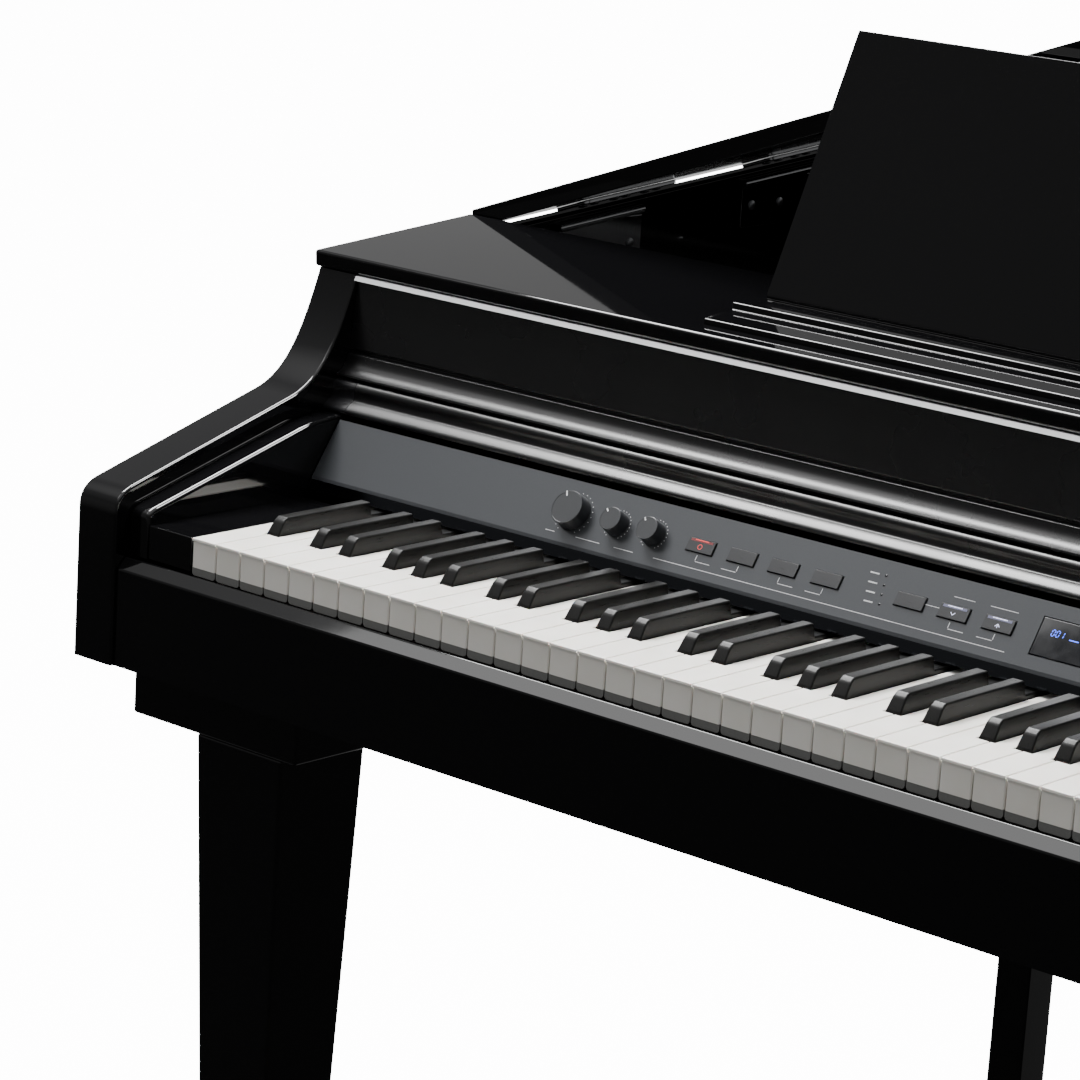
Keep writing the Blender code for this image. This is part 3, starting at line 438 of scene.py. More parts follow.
def buildKeys():
    stoodFor = set()

    def keyPiece(name, mesh, finish, body, **more):
        # the first key on a body stands for the solid of that body
        piece(name, mesh, finish, body, None if body in stoodFor else body, slotted=True, **more)
        stoodFor.add(body)

    for i in range(keys["count"]):
        letter = "abcdefg"[i % 7]
        single = keys["firstSingle"] <= i <= keys["lastSingle"]
        side = "low" if i < keys["firstSingle"] else "high"
        body = "key_" + letter if single else "white_keys_" + side
        keyPiece(f"whiteKey{i + 1:02d}", whiteKey(i), ivory, body)
        piece(f"keyFoot{i + 1:02d}", keyFoot(i), keyFootShade, body)
        middle = blackMiddle(i)
        if middle is not None:
            body = f"key_{letter}_sharp" if single else "black_keys_" + side
            keyPiece(f"blackKey{i + 1:02d}", blackKey(middle), ebony, body, smooth=30)
    near, far, low, high = railFelt.values()
    rail = keyProfile([(near, low), (near, high), (far, high), (far, low)], -halfKeys, halfKeys)
    piece("frontRailFelt", softened(rail, 0.001, 2), redFelt)


buildKeys()
print("keys ready")


# Arms, cheeks and the front of the case
arms = {
    "reach": 0.013, "round": 0.0022, "frontTop": 0.004, "length": 0.255,
    "slopeEnd": (0.156, 0.0700), "curveEnd": 0.2175, "curveSteps": 22,
    "cheekBack": 0.190, "cheekBead": 0.0088, "blockBack": 0.1530, "low": -0.025,
}
armGap = armIn - clear


def underBoard(y):
    # height of the top board's underside over the key tops, that far back from the key fronts
    start = topFrame @ Vector((0, 0, -case["boardThick"] - clear))
    return start.z + (keys["frontY"] + y - start.y) * math.tan(boardSlope) - keys["topZ"]


def buildArms():
    reach, end, back, low = -arms["reach"], arms["curveEnd"], arms["cheekBack"], arms["low"]
    arm = [(reach, case["bed"]), (reach, arms["frontTop"])]
    curveTo(arm, (reach, 0.013), (-0.009, 0.0195), (0.002, 0.0235), 10)
    arm.append(arms["slopeEnd"])
    curveTo(arm, (0.184, 0.0785), (0.200, 0.103), (end, underBoard(end)), arms["curveSteps"])
    arm += [(arms["length"], underBoard(arms["length"])), (arms["length"], case["bed"])]
    cheek = [(0.0, low), (0.0, 0.0035)]
    curveTo(cheek, (0.0, 0.0080), (0.004, 0.0102), (0.012, 0.0122), 8)
    cheek.append((0.150, 0.0512))
    curveTo(cheek, (0.163, 0.0547), (0.172, 0.0560), (back, 0.0563), 8)
    cheek.append((back, low))
    block = [(0.0005, low), (0.0005, -0.0005), (arms["blockBack"], -0.0005), (arms["blockBack"], low)]
    endY, beadFrom = keys["frontY"] + end, keys["topZ"] + 0.0030
    for side, name in ((-1, "left"), (1, "right")):
        solid = keyProfile(arm, side * armIn, side * halfWidth)
        softened(solid, arms["round"], 3, 40, lambda e: (
            extent(e).x < tiny and highEnd(e).y < endY + clear and lowEnd(e).y < endY - 0.0005))
        piece("arm" + name.title(), solid, lacquer, stands="arm_" + name, smooth=30)

        solid = keyProfile(cheek, side * (cheekIn + clear), side * armGap)
        softened(solid, arms["cheekBead"], 6, 40, lambda e: extent(e).x < tiny and lowEnd(e).z > beadFrom)
        piece("cheek" + name.title(), solid, lacquer, stands="cheek_" + name, smooth=40)

        solid = keyProfile(block, side * (halfKeys + 0.001), side * (cheekIn - clear))
        piece("keyBlock" + name.title(), softened(solid, 0.0008), lacquer, stands="key_block_" + name)


slip = {"top": -0.0265, "slope": 0.008, "back": -0.002, "thickness": 0.020, "step": -0.040}
upper = {"front": 0.2205, "back": 0.2350, "low": 0.0806, "grooveLow": 0.0965, "grooveHigh": 0.1022}


def buildFront():
    front, back = slip["back"] - slip["slope"], slip["back"] + 0.0012
    shape = [
        (front, case["bed"]), (front, slip["top"] - slip["slope"]),
        (slip["back"] - 0.0008, slip["top"]), (back, slip["top"]), (back, slip["step"]),
        (front + slip["thickness"], slip["step"]), (front + slip["thickness"], case["bed"]),
    ]
    solid = keyProfile(shape, -armGap, armGap)
    softened(solid, 0.0011, 3, 20, lambda e: lowEnd(e).z > keys["topZ"] - 0.036)
    piece("keySlip", solid, lacquer, stands="key_slip")

    # upper panel: a plain face over a groove, a cove and a fillet
    shape = [
        (upper["front"], underBoard(upper["front"]) - 0.0009), (0.2192, 0.1520), (0.2140, 0.1010),
        (0.2144, 0.0996), (0.2165, 0.0990), (0.2165, 0.0974), (0.2120, upper["grooveLow"]),
    ]
    curveTo(shape, (0.2110, 0.0900), (0.2070, 0.0850), (0.2010, 0.0830), 12)
    shape += [
        (0.2006, 0.0818), (0.2020, upper["low"]), (upper["back"], upper["low"]),
        (upper["back"], underBoard(upper["back"]) - 0.0009),
    ]
    solid = keyProfile(shape, -armGap, armGap)
    softened(solid, 0.0004, 2, 30, lambda e: (
        highEnd(e).z < keys["topZ"] + upper["grooveHigh"] and highEnd(e).y < keys["frontY"] + 0.2170
        and lowEnd(e).z > keys["topZ"] + upper["grooveLow"] - 0.0001))
    piece("upperPanel", solid, satinLacquer, stands="upper_panel", smooth=30)
    high = underBoard(0.2200) - 0.0006
    strip = [(0.2222, high), (0.2158, high), (0.2140, high - 0.0031), (0.2222, high - 0.0031)]
    piece("upperStrip", keyProfile(strip, -armIn + 0.0008, armIn - 0.0008), satinStrip, smooth=0)


moulding = {
    "coverSlope": math.atan(0.245), "depth": 0.196, "thick": 0.007, "steps": 10,
    "foot": (0.1960, 0.0576), "neckY": 0.2145, "side": 0.0028,
}


def buildCover():
    # the cover's moulded front edge: a lower roll, a slope, a quirk and an upper roll
    line = [(0.1908, 0.0565)]
    for curve in (
            ((0.1882, 0.0566), (0.1877, 0.0592), (0.1896, 0.0610)),
            ((0.1915, 0.0627), (0.1938, 0.0645), (0.1966, 0.0657)),
            ((0.1976, 0.0661), (0.1983, 0.0680), (0.1982, 0.0715)),
            ((0.1966, 0.0760), (0.1996, 0.0796), (0.2060, 0.0796))):
        curveTo(line, *curve, moulding["steps"])
    along = Vector((math.cos(moulding["coverSlope"]), math.sin(moulding["coverSlope"])))
    rise = Vector((-along.y, along.x)) * moulding["thick"]
    foot = Vector(moulding["foot"])
    rearLow = foot + along * moulding["depth"]
    neck = foot + rise
    neck += along * ((moulding["neckY"] - neck.x) / along.x)
    shape = line + [(0.2105, 0.0775), tuple(neck), tuple(rearLow + rise), tuple(rearLow), tuple(foot)]
    half = cheekIn - moulding["side"]
    solid = keyProfile(shape, -half, half)
    piece("keyCover", solid, satinLacquer, "key_cover", "key_cover", smooth=30)
    cap = line + [(0.2125, 0.0785), (0.2125, 0.0600), (0.2100, 0.0575)]
    for side, name in ((-1, "left"), (1, "right")):
        solid = keyProfile(cap, side * (half + 0.0005), side * armGap)
        piece("endCap" + name.title(), solid, capPlastic, stands="end_cap_" + name, smooth=30)


buildArms()
buildFront()
buildCover()
print("front of the case ready")


# Top board, music desk, rim and lid
top = {"round": 0.0024, "lidThick": 0.014}
desk = {
    "width": 0.730, "height": 0.190, "thick": 0.012, "taper": 0.026, "angle": math.radians(71.0),
    "hinge": 0.094, "baseFront": 0.022, "baseStep": 0.052, "low": 0.004, "high": 0.010, "back": 0.108,
}


def buildTop():
    half = halfWidth + case["overhang"]
    board = boxMesh((-half, 0, -case["boardThick"]), (half, case["boardDepth"], 0))
    softened(board, top["round"], 3, 40, lambda e: all(
        v.co.y < 0.001 or abs(v.co.x) > half - 0.001 for v in e.verts))
    piece("topBoard", board, lacquer, stands="top_board", matrix=topFrame)

    thick = desk["thick"] / 2
    trough = clear + 0.0015
    hingeHigh = trough + clear + thick
    lean = Vector((math.cos(desk["angle"]), math.sin(desk["angle"])))
    behind = Vector((desk["hinge"], hingeHigh)) + Vector((lean.y, -lean.x)) * (thick + clear)
    stopLow = behind + lean * ((trough - behind.y) / lean.y)
    stopHigh = behind + lean * ((desk["high"] + 0.004 - behind.y) / lean.y)
    front, step, low, high, hinge = (desk[k] for k in ("baseFront", "baseStep", "low", "high", "hinge"))
    floor, groove = low + 0.001, hinge - thick - clear
    shape = [
        (front, clear), (front, low), (step, floor), (step, high), (step + 0.008, high),
        (step + 0.009, floor), (groove, floor), (groove, trough),
        tuple(stopLow), tuple(stopHigh), (desk["back"] + 0.004, high), (desk["back"] + 0.006, clear),
    ]
    rest = desk["width"] / 2
    base = softened(profileAlongX(shape, -rest, rest), 0.0011, 3, 25, lambda e: lowEnd(e).z > 0.0035)
    piece("deskBase", base, lacquer, stands="desk_base", matrix=topFrame)

    deskFrame = topFrame @ Matrix.Translation((0, hinge, hingeHigh)) @ Matrix.Rotation(desk["angle"], 4, "X")
    half, turns = rest - 0.002, [i * math.pi / 12 for i in range(13)]
    heel = [(-thick * math.sin(a), -thick * math.cos(a)) for a in turns]
    board = profileAlongX(heel + [(desk["height"], thick), (desk["height"], -thick)], -half, half)
    for vert in board.verts:
        share = max(vert.co.y, 0) / desk["height"]
        vert.co.x -= math.copysign(desk["taper"] * share, vert.co.x)
    softened(board, 0.0018, 3, 50, lambda e: highEnd(e).y > 0.010)
    piece("musicDesk", board, lacquer, "music_desk", "music_desk", deskFrame, 30)


plan = {"tailRadius": 0.060, "shoulder": 0.270, "trebleRadius": 0.100, "curveStart": -0.060, "rimHeight": 0.2}


def bodyPath(shift, start, curve=20, corner=8):
    # the body from above: straight bass side, round tail corner, S-shaped treble side
    side, tail, curveStart = halfWidth + shift, case["tailY"] + min(shift, 0), plan["curveStart"]
    radius, turn = plan["tailRadius"] + shift, plan["trebleRadius"] + shift
    shoulder = case["tailY"] - plan["shoulder"] + shift
    path = [(-side, start), (-side, tail - radius)]
    for i in range(1, corner + 1):
        a = math.pi - i * math.pi / 2 / corner
        path.append((-side + radius + radius * math.cos(a), tail - radius + radius * math.sin(a)))
    for i in range(curve + 1):
        t = i / curve
        path.append((
            curveStart + (side - turn - curveStart) * t, tail + (shoulder - tail) * t * t * (3 - 2 * t)))
    for i in range(1, corner + 1):
        a = math.pi / 2 - i * math.pi / 2 / corner
        path.append((side - turn + turn * math.cos(a), shoulder - turn + turn * math.sin(a)))
    path.append((side, start))
    return path


def insidePath(thickness, start):
    outer = bodyPath(0, start)
    last = len(outer) - 1
    moved = []
    for i, point in enumerate(outer):
        along = Vector(outer[min(i + 1, last)]) - Vector(outer[max(i - 1, 0)])
        if i in (0, last):
            along = Vector((0, 1 if i == 0 else -1))
        along.normalize()
        moved.append((point[0] + along.y * thickness, point[1] - along.x * thickness))
    return moved


def buildRim():
    start, height = keys["frontY"] + arms["length"] + clear, plan["rimHeight"]
    rim = profileAlongZ(
        bodyPath(0, start) + insidePath(case["rim"], start)[::-1], bedZ, bedZ + height)
    for vert in rim.verts:
        if vert.co.z > bedZ + height / 2:
            vert.co.z = keys["topZ"] + underBoard(vert.co.y - keys["frontY"])
    softened(rim, 0.0012, 2, 60, lambda e: lowEnd(e).z > bedZ + height * 0.75)
    piece("bentRim", rim, lacquer, stands="case_rim", smooth=30)


def buildLid():
    slope = math.cos(boardSlope)
    path = bodyPath(case["overhang"], boardY + lidFront * slope, 40, 12)
    outline = [(x + halfWidth + case["overhang"], (y - boardY) / slope) for x, y in path]
    lid = profileAlongZ(outline, 0, top["lidThick"])
    # mitred along the hinges, so that it doesn't stand out past the side when it is up
    spine = top["lidThick"] * math.tan(lidOpen)
    for vert in lid.verts:
        if vert.co.z > top["lidThick"] / 2:
            vert.co.x = max(vert.co.x, spine)
    softened(lid, 0.0016, 3, 50, lambda e: highEnd(e).x > 0.01)
    piece("lid", lid, lacquer, "lid", "lid", lidFrame, 30)


buildTop()
buildRim()
buildLid()
print("top ready")


# Lid hardware and the space under the lid
def screwHead(radius, height):
    head = turnedMesh([
        (0, 0), (radius, 0), (radius * 0.94, height * 0.5), (radius * 0.55, height), (0, height)], 20)
    for turn in (0, 90):
        blade = boxMesh(
            (-radius * 0.5, -radius * 0.09, height * 0.92), (radius * 0.5, radius * 0.09, height * 1.03))
        bmesh.ops.rotate(
            blade, verts=blade.verts, cent=(0, 0, 0), matrix=Matrix.Rotation(math.radians(turn), 3, "Z"))
        joined(head, blade)
    return head


prop = {
    "x": -0.080, "y": 0.800, "lean": math.radians(45), "radius": 0.007, "width": 0.014, "block": 0.020,
    "blockLength": 0.030, "blockSlope": math.radians(25), "deckZ": 0.095, "ear": 0.006, "earHeight": 0.018,
    "earHalf": 0.012, "pinRadius": 0.0034, "pinHalf": 0.0135, "turnSteps": 12,
}


def buildProp():
    r, wide = prop["radius"], prop["width"]
    pivot = Vector((prop["x"], *fromKeys(prop["y"], prop["deckZ"] + r + clear)))
    lean = Vector((0, -math.sin(prop["lean"]), math.cos(prop["lean"])))
    facing = lidFrame.to_3x3() @ Vector((0, 0, 1))
    reach = (facing.dot(lidFrame.translation - pivot) - prop["block"]) / facing.dot(lean)
    tip = r * math.hypot(facing.y, facing.z) + abs(facing.x) * wide / 2 + clear
    length = reach - tip / facing.dot(lean)

    # the cup is a block under the lid that the stick's tip sits against, thinner towards the keys
    spot = lidFrame.inverted() @ (pivot + lean * reach)
    rear, fore = spot.y + prop["blockLength"] * 0.45, spot.y - prop["blockLength"] * 0.55
    drop = prop["blockLength"] * 0.55 * math.tan(prop["blockSlope"])
    base = -prop["block"] + clear
    cup = profileAlongX([
        (rear, -0.0002), (rear, base), (spot.y + 0.002, base), (fore, -prop["block"] + drop), (fore, -0.0002),
    ], spot.x - wide, spot.x + wide)
    softened(cup, 0.0012, 2, 30, lambda e: lowEnd(e).z < -0.004)
    piece("propCup", cup, glossPlastic, "lid", matrix=lidFrame)

    angles = [math.pi + i * math.pi / prop["turnSteps"] for i in range(prop["turnSteps"] + 1)]
    turn = [(r * math.cos(a), r * math.sin(a)) for a in angles]
    stick = profileAlongX(turn + [(-y, length - z) for y, z in turn], -wide / 2, wide / 2)
    stickFrame = Matrix.Translation(pivot) @ Matrix.Rotation(prop["lean"], 4, "X")
    piece("propStick", softened(stick, 0.0012, 2, 50), chrome, "prop_stick", "prop_stick", stickFrame)
    pinEnd, half = prop["pinRadius"], prop["pinHalf"]
    pin = turnedMesh([
        (0, -half), (pinEnd - 0.0004, -half), (pinEnd, 0.0007 - half), (pinEnd, half - 0.0007),
        (pinEnd - 0.0004, half), (0, half)], 24)
    piece("propPin", pin, chrome, matrix=Matrix.Translation(pivot) @ Matrix.Rotation(math.pi / 2, 4, "Y"))
    low, centre = keys["topZ"] + prop["deckZ"], keys["frontY"] + prop["y"]
    for side, name in ((-1, "Left"), (1, "Right")):
        near = prop["x"] + side * (wide / 2 + clear)
        far = near + side * prop["ear"]
        ear = boxMesh(
            (min(near, far), centre - prop["earHalf"], low - 0.002),
            (max(near, far), centre + prop["earHalf"], low + prop["earHeight"]))
        softened(ear, 0.005, 5, 40, lambda e: lowEnd(e).z > low + 0.01 and extent(e).x > 0.003)
        piece("propEar" + name, softened(ear, 0.0006, 2, 40), chrome)


hinges = {
    "places": {"Front": 0.070, "Rear": 0.300}, "inset": 0.022, "length": 0.110, "width": 0.034, "thick": 0.003,
    "screw": (0.0042, 0.0016), "screwsAlong": (0.16, 0.50, 0.84), "screwRows": (0.35, 0.72),
    "plate": 0.0026, "plateDrop": 0.040, "plateScrew": 0.022, "barrel": 0.0036,
}


def buildHinges():
    long, wide = hinges["length"], hinges["width"]
    for name, place in hinges["places"].items():
        x, y, under = case["overhang"] + hinges["inset"], lidFront + place, -clear - hinges["thick"]
        leaf = boxMesh((x, y, under), (x + wide, y + long, -clear))
        softened(leaf, 0.006, 4, 40, lambda e: extent(e).z > 0.001 and lowEnd(e).x > x + 0.01)
        softened(leaf, 0.0006, 2, 40)
        piece("lidHinge" + name, leaf, chrome, "lid", "lid_hinge_" + name.lower(), lidFrame)
        for k, along in enumerate(hinges["screwsAlong"]):
            for row in hinges["screwRows"]:
                spot = lidFrame @ Matrix.Translation((x + wide * row, y + long * along, under))
                piece(f"lidHinge{name}Screw{k}{int(row * 100)}", screwHead(*hinges["screw"]), steel, "lid",
                      matrix=spot @ Matrix.Rotation(math.pi, 4, "X"))
        # fixed half: a plate down the inside of the rim and a barrel along its top
        start, wall = boardY + y * math.cos(boardSlope), -halfWidth + case["rim"]
        plateTop, face = keys["topZ"] + underBoard(start - keys["frontY"]) - 0.004, wall + hinges["plate"]
        plate = boxMesh(
            (wall, start + 0.004, plateTop - hinges["plateDrop"]), (face, start + long - 0.004, plateTop))
        piece(f"rimPlate{name}", softened(plate, 0.0007, 2, 40), chrome)
        for k, along in enumerate(hinges["screwsAlong"]):
            spot = Matrix.Translation((face, start + long * along, plateTop - hinges["plateScrew"]))
            piece(f"rimPlate{name}Screw{k}", screwHead(*hinges["screw"]), steel,
                  matrix=spot @ Matrix.Rotation(math.pi / 2, 4, "Y"))
        r, end = hinges["barrel"], long - 0.008
        barrel = turnedMesh([
            (0, 0), (r - 0.0006, 0), (r, 0.0008), (r, end - 0.0008), (r - 0.0006, end), (0, end)], 24)
        spot = Matrix.Translation((wall + 0.0030, start + 0.004, plateTop - 0.0034))
        piece(f"hingeBarrel{name}", barrel, chrome,
              matrix=spot @ Matrix.Rotation(-math.pi / 2 + boardSlope, 4, "X"))


deck = {
    "front": 0.012, "thick": 0.009, "screw": (0.0045, 0.0018),
    "screws": (
        (-0.62, 0.02), (-0.30, -0.035), (0.10, -0.035), (0.52, -0.02),
        (-0.50, 0.41), (-0.22, 0.42), (0.45, 0.13)),
}


def buildDeck():
    high = keys["topZ"] + prop["deckZ"]
    low = high - deck["thick"]
    board = profileAlongZ(
        insidePath(case["rim"] + clear, boardY + case["boardDepth"] + deck["front"]), low, high)
    softened(board, 0.0006, 1, 50, lambda e: lowEnd(e).z > high - 0.001)
    piece("innerDeck", board, paintedBoard, stands="inner_deck")
    for k, (x, y) in enumerate(deck["screws"]):
        piece(f"deckScrew{k}", screwHead(*deck["screw"]), steel, matrix=Matrix.Translation((x, y, high)))


buildProp()
buildHinges()
buildDeck()
print("lid hardware ready")


# Control panel, drawn in its own plane as (across, up), from the low end of the keyboard
panelFoot, panelHead = Vector((0, 0.1597, 0.0140)), Vector((0, 0.1861, 0.0531))
panelUp = (panelHead - panelFoot).normalized()
panelOut = Vector((1, 0, 0)).cross(panelUp)
panelFrame = Matrix((
    (1, panelUp.x, panelOut.x, -halfKeys),
    (0, panelUp.y, panelOut.y, keys["frontY"] + panelFoot.y),
    (0, panelUp.z, panelOut.z, keys["topZ"] + panelFoot.z),
    (0, 0, 0, 1),
))
panel = {
    "line": 0.0236, "pocket": 0.004, "rise": 0.0013, "lampUp": 0.78, "spillUp": 0.70,
    "inkThick": 0.00012, "inkWidth": 0.00045, "inkLift": 0.00002, "dot": 0.00036, "dotStep": 15,
    "buttonWidth": 0.0225, "buttonHeight": 0.0095,
    "buttons": {
        "record_button": 0.3105, "play_button": 0.3460, "metronome_button": 0.3808, "rhythm_button": 0.4166,
        "function_button": 0.4841, "tempo_down_button": 0.5185, "tempo_up_button": 0.5532,
    },
    "knobHeight": 0.0105,
    "knobs": {  # place across, radius, pointer's turn in degrees, radius of the ring of dots
        "volume_knob": (0.1972, 0.0132, 27, 0.0152), "bass_knob": (0.2365, 0.0090, 43, 0.0106),
        "treble_knob": (0.2692, 0.0090, 36, 0.0106),
    },
    "rule": (0.0073, ((0.180, 0.188), (0.2075, 0.2290), (0.2420, 0.2590), (0.2770, 0.5650))),
    "selector": {"across": 0.4584, "up": 0.0364, "stepAcross": 0.0014, "stepDown": 0.0066},
    "displayLeft": 0.5820, "displayWidth": 0.0780, "displayHeight": 0.0260,
    "number": "001", "tempo": "120", "titleBars": (0.007, 0.012, 0.005, 0.009),
}


def inkLine(mesh, start, end, width=panel["inkWidth"]):
    a, b = Vector(start), Vector(end)
    way = (b - a).normalized()
    side = Vector((-way.y, way.x)) * width / 2
    corners = [(p.x, p.y, panel["inkLift"]) for p in (a + side, b + side, b - side, a - side)]
    pushed(mesh, outlineFace(mesh, corners), (0, 0, panel["inkThick"]))


def inkDot(mesh, across, up):
    made = bmesh.ops.create_circle(mesh, cap_ends=True, radius=panel["dot"], segments=8)["verts"]
    bmesh.ops.translate(mesh, verts=made, vec=(across, up, panel["inkLift"]))
    pushed(mesh, made[0].link_faces[0], (0, 0, panel["inkThick"]))


def segmentDigit(mesh, digit, across, up, size):
    # a seven-segment figure drawn with lit bars
    lit = {"0": "abcdef", "1": "bc", "2": "abged"}[digit]
    w, h = size * 0.5, size
    lean, inset = 0.12, size * 0.09
    bars = {
        "a": ((0, h), (w, h)), "b": ((w, h), (w, h / 2)), "c": ((w, h / 2), (w, 0)), "d": ((0, 0), (w, 0)),
        "e": ((0, 0), (0, h / 2)), "f": ((0, h / 2), (0, h)), "g": ((0, h / 2), (w, h / 2)),
    }
    for name in lit:
        a, b = (Vector(p) for p in bars[name])
        cut = (b - a).normalized() * inset
        start, end = a + cut, b - cut
        start.x += across + lean * a.y
        end.x += across + lean * b.y
        start.y += up
        end.y += up
        inkLine(mesh, start, end, size * 0.11)


def printPanel():
    ink, line, buttons, half = bmesh.new(), panel["line"], panel["buttons"], panel["buttonWidth"] / 2
    low, runs = panel["rule"]
    for start, end in runs:
        inkLine(ink, (start, low), (end, low))
    for left, right in (("record", "play"), ("metronome", "rhythm"), ("tempo_down", "tempo_up")):
        a, b = buttons[left + "_button"], buttons[right + "_button"]
        foot, gap = line - 0.0112, (a + b) / 2
        for x in (a, b):
            inkLine(ink, (x, line - 0.0066), (x, foot + 0.0008))
        inkLine(ink, (a + 0.0003, foot), (gap - 0.0052, foot))
        inkLine(ink, (gap + 0.0052, foot), (b - 0.0003, foot))
    above = line + 0.0108
    inkLine(ink, (a - 0.005, above), (gap - 0.006, above))
    inkLine(ink, (gap + 0.006, above), (b + 0.010, above))
    inkLine(ink, (buttons["function_button"] + half, line + 0.0008), (a - half, line + 0.0008))
    for x, radius, turn, ring in panel["knobs"].values():
        for degrees in range(-150, 151, panel["dotStep"]):
            angle = math.radians(degrees)
            inkDot(ink, x + ring * math.sin(angle), line + ring * math.cos(angle))
    row = panel["selector"]
    spots = [(row["across"] + row["stepAcross"] * k, row["up"] - row["stepDown"] * k) for k in range(4)]
    for x, v in spots:
        inkLine(ink, (x - 0.0125, v), (x - 0.0055, v), 0.0009)
    piece("panelPrinting", ink, paleInk, matrix=panelFrame, smooth=0)
    for k, (x, v) in enumerate(spots):
        lens = turnedMesh([(0, 0), (0.0009, 0), (0.0009, 0.0001), (0.0006, 0.0003), (0, 0.00038)], 14)
        piece(f"selectorLens{k}", lens, smoked, matrix=panelFrame @ Matrix.Translation((x, v, 0)))


def buildButtons():
    line, rise = panel["line"], panel["rise"]
    w, h = panel["buttonWidth"] / 2, panel["buttonHeight"] / 2
    toFace = panelFrame @ Matrix.Translation((0, 0, rise + panel["inkLift"]))
    for number, (name, x) in enumerate(panel["buttons"].items(), 1):
        cap = boxMesh((x - w, line - h, -panel["pocket"] + 0.0013), (x + w, line + h, rise))
        softened(cap, 0.0007, 3, 40, lambda e: extent(e).z > 0.002)
        softened(cap, 0.0003, 2, 40, lambda e: lowEnd(e).z > rise - tiny)
        piece(name.title().replace("_", ""), cap, buttonPlastic, name, name, panelFrame, 30)
        if number in (1, 6, 7):
            # a lit bar along the top of the button, over a faint painted glow on the cap that stands for the
            # light the bar throws there
            for kind, reach, up, thick, lift, lit in (
                    ("Lamp", 0.50, panel["lampUp"], 0.0006, 0.00003, redLamp if number == 1 else whiteLamp),
                    ("Spill", 0.82, panel["spillUp"], 0.0017, 0, redPaintedSpill if number == 1 else whitePaintedSpill)):
                bar = bmesh.new()
                inkLine(bar, (x - w * reach, line + h * up), (x + w * reach, line + h * up), thick)
                piece(f"{name.split('_')[0]}{kind}{number}", bar, lit, name,
                      matrix=toFace @ Matrix.Translation((0, 0, lift)), smooth=0)
        icon, finish = bmesh.new(), darkPlastic
        if number == 1:
            ring = bmesh.ops.create_circle(icon, cap_ends=False, radius=0.0019, segments=28)["verts"]
            bmesh.ops.translate(icon, verts=ring, vec=(x, line - 0.0009, 0))
            grown = bmesh.ops.extrude_edge_only(icon, edges=icon.edges[:])["geom"]
            inner = [v for v in grown if isinstance(v, bmesh.types.BMVert)]
            bmesh.ops.scale(icon, verts=inner, vec=(0.80, 0.80, 1),
                            space=Matrix.Translation((-x, -line + 0.0009, 0)))
            bmesh.ops.solidify(icon, geom=icon.faces[:], thickness=0.0001)
            finish = redLamp
        elif number in (6, 7):
            way = 1 if number == 7 else -1
            for reach in (-0.0017, 0.0017):
                tail, head = line - 0.0010 - way * 0.0008, line - 0.0010 + way * 0.0010
                inkLine(icon, (x + reach, tail), (x, head), 0.0004)
            if number == 7:
                inkLine(icon, (x, line - 0.0026), (x, line), 0.0004)
            finish = whiteLamp
        else:
            inkLine(icon, (x - 0.0016, line - 0.0008), (x + 0.0016, line - 0.0008), 0.00025)
        piece(f"buttonMark{number}", icon, finish, name, matrix=toFace, smooth=0)


def buildKnobs():
    h = panel["knobHeight"]
    for name, (x, r, turn, ring) in panel["knobs"].items():
        knob = turnedMesh([
            (0, 0.0003), (r * 0.985, 0.0003), (r, 0.0006), (r * 0.975, h * 0.55), (r * 0.955, h - 0.0009),
            (r * 0.930, h - 0.0001), (r * 0.900, h), (r * 0.885, h - 0.00012), (0, h - 0.00012),
        ], 72)
        place = panelFrame @ Matrix.Translation((x, panel["line"], 0))
        piece(name.title().replace("_", ""), knob, knobPlastic, name, name, place, 30)
        mark, angle = bmesh.new(), math.radians(turn)
        way = Vector((-math.sin(angle), math.cos(angle)))
        inkLine(mark, way * r * 0.66, way * r * 0.955, 0.0011 if r > 0.01 else 0.00095)
        piece(name.split("_")[0] + "Pointer", mark, paleInk, name,
              matrix=place @ Matrix.Translation((0, 0, h - 0.00008)), smooth=0)


def buildDisplay():
    left, width, line = panel["displayLeft"], panel["displayWidth"], panel["line"]
    high = panel["displayHeight"] / 2
    window = boxMesh((left, line - high, clear - panel["pocket"]), (left + width, line + high, 0.0002))
    softened(window, 0.0005, 2, 40, lambda e: lowEnd(e).z > 0.0001)
    piece("displayWindow", window, smoked, stands="display_window", matrix=panelFrame)
    digits, across = bmesh.new(), left + 0.0235
    for k, figure in enumerate(panel["number"]):
        segmentDigit(digits, figure, left + 0.0095 + k * 0.0034, line + 0.0018, 0.0042)
    for k, figure in enumerate(panel["tempo"]):
        segmentDigit(digits, figure, left + width - 0.022 + k * 0.0042, line - 0.0080, 0.0046)
    for length in panel["titleBars"]:
        inkLine(digits, (across, line + 0.0020), (across + length, line + 0.0020), 0.0006)
        across += length + 0.0018
    piece("displayDigits", digits, blueLamp, matrix=panelFrame @ Matrix.Translation((0, 0, 0.0002)), smooth=0)


# thin polished return that drops from the panel's foot towards the keys
lip = keyProfile(
    [(0.1565, 0.0047), (0.15935, 0.0124), (0.15905, 0.0126), (0.15610, 0.0049)],
    -cheekIn + 0.0010, cheekIn - 0.0010)
piece("panelReturn", lip, lipGloss)
printPanel()
buildButtons()
buildKnobs()
buildDisplay()
print("control panel ready")


# Legs, lyre and pedals
legs = {
    "block": (0.164, 0.100, 0.041), "inset": 0.031, "middle": 0.106, "setback": 0.020,
    "top": 0.084, "foot": 0.050, "round": 0.0022, "glide": 0.018, "glideHeight": 0.006,
    "rearY": 0.780, "rearEdge": -0.142,
}


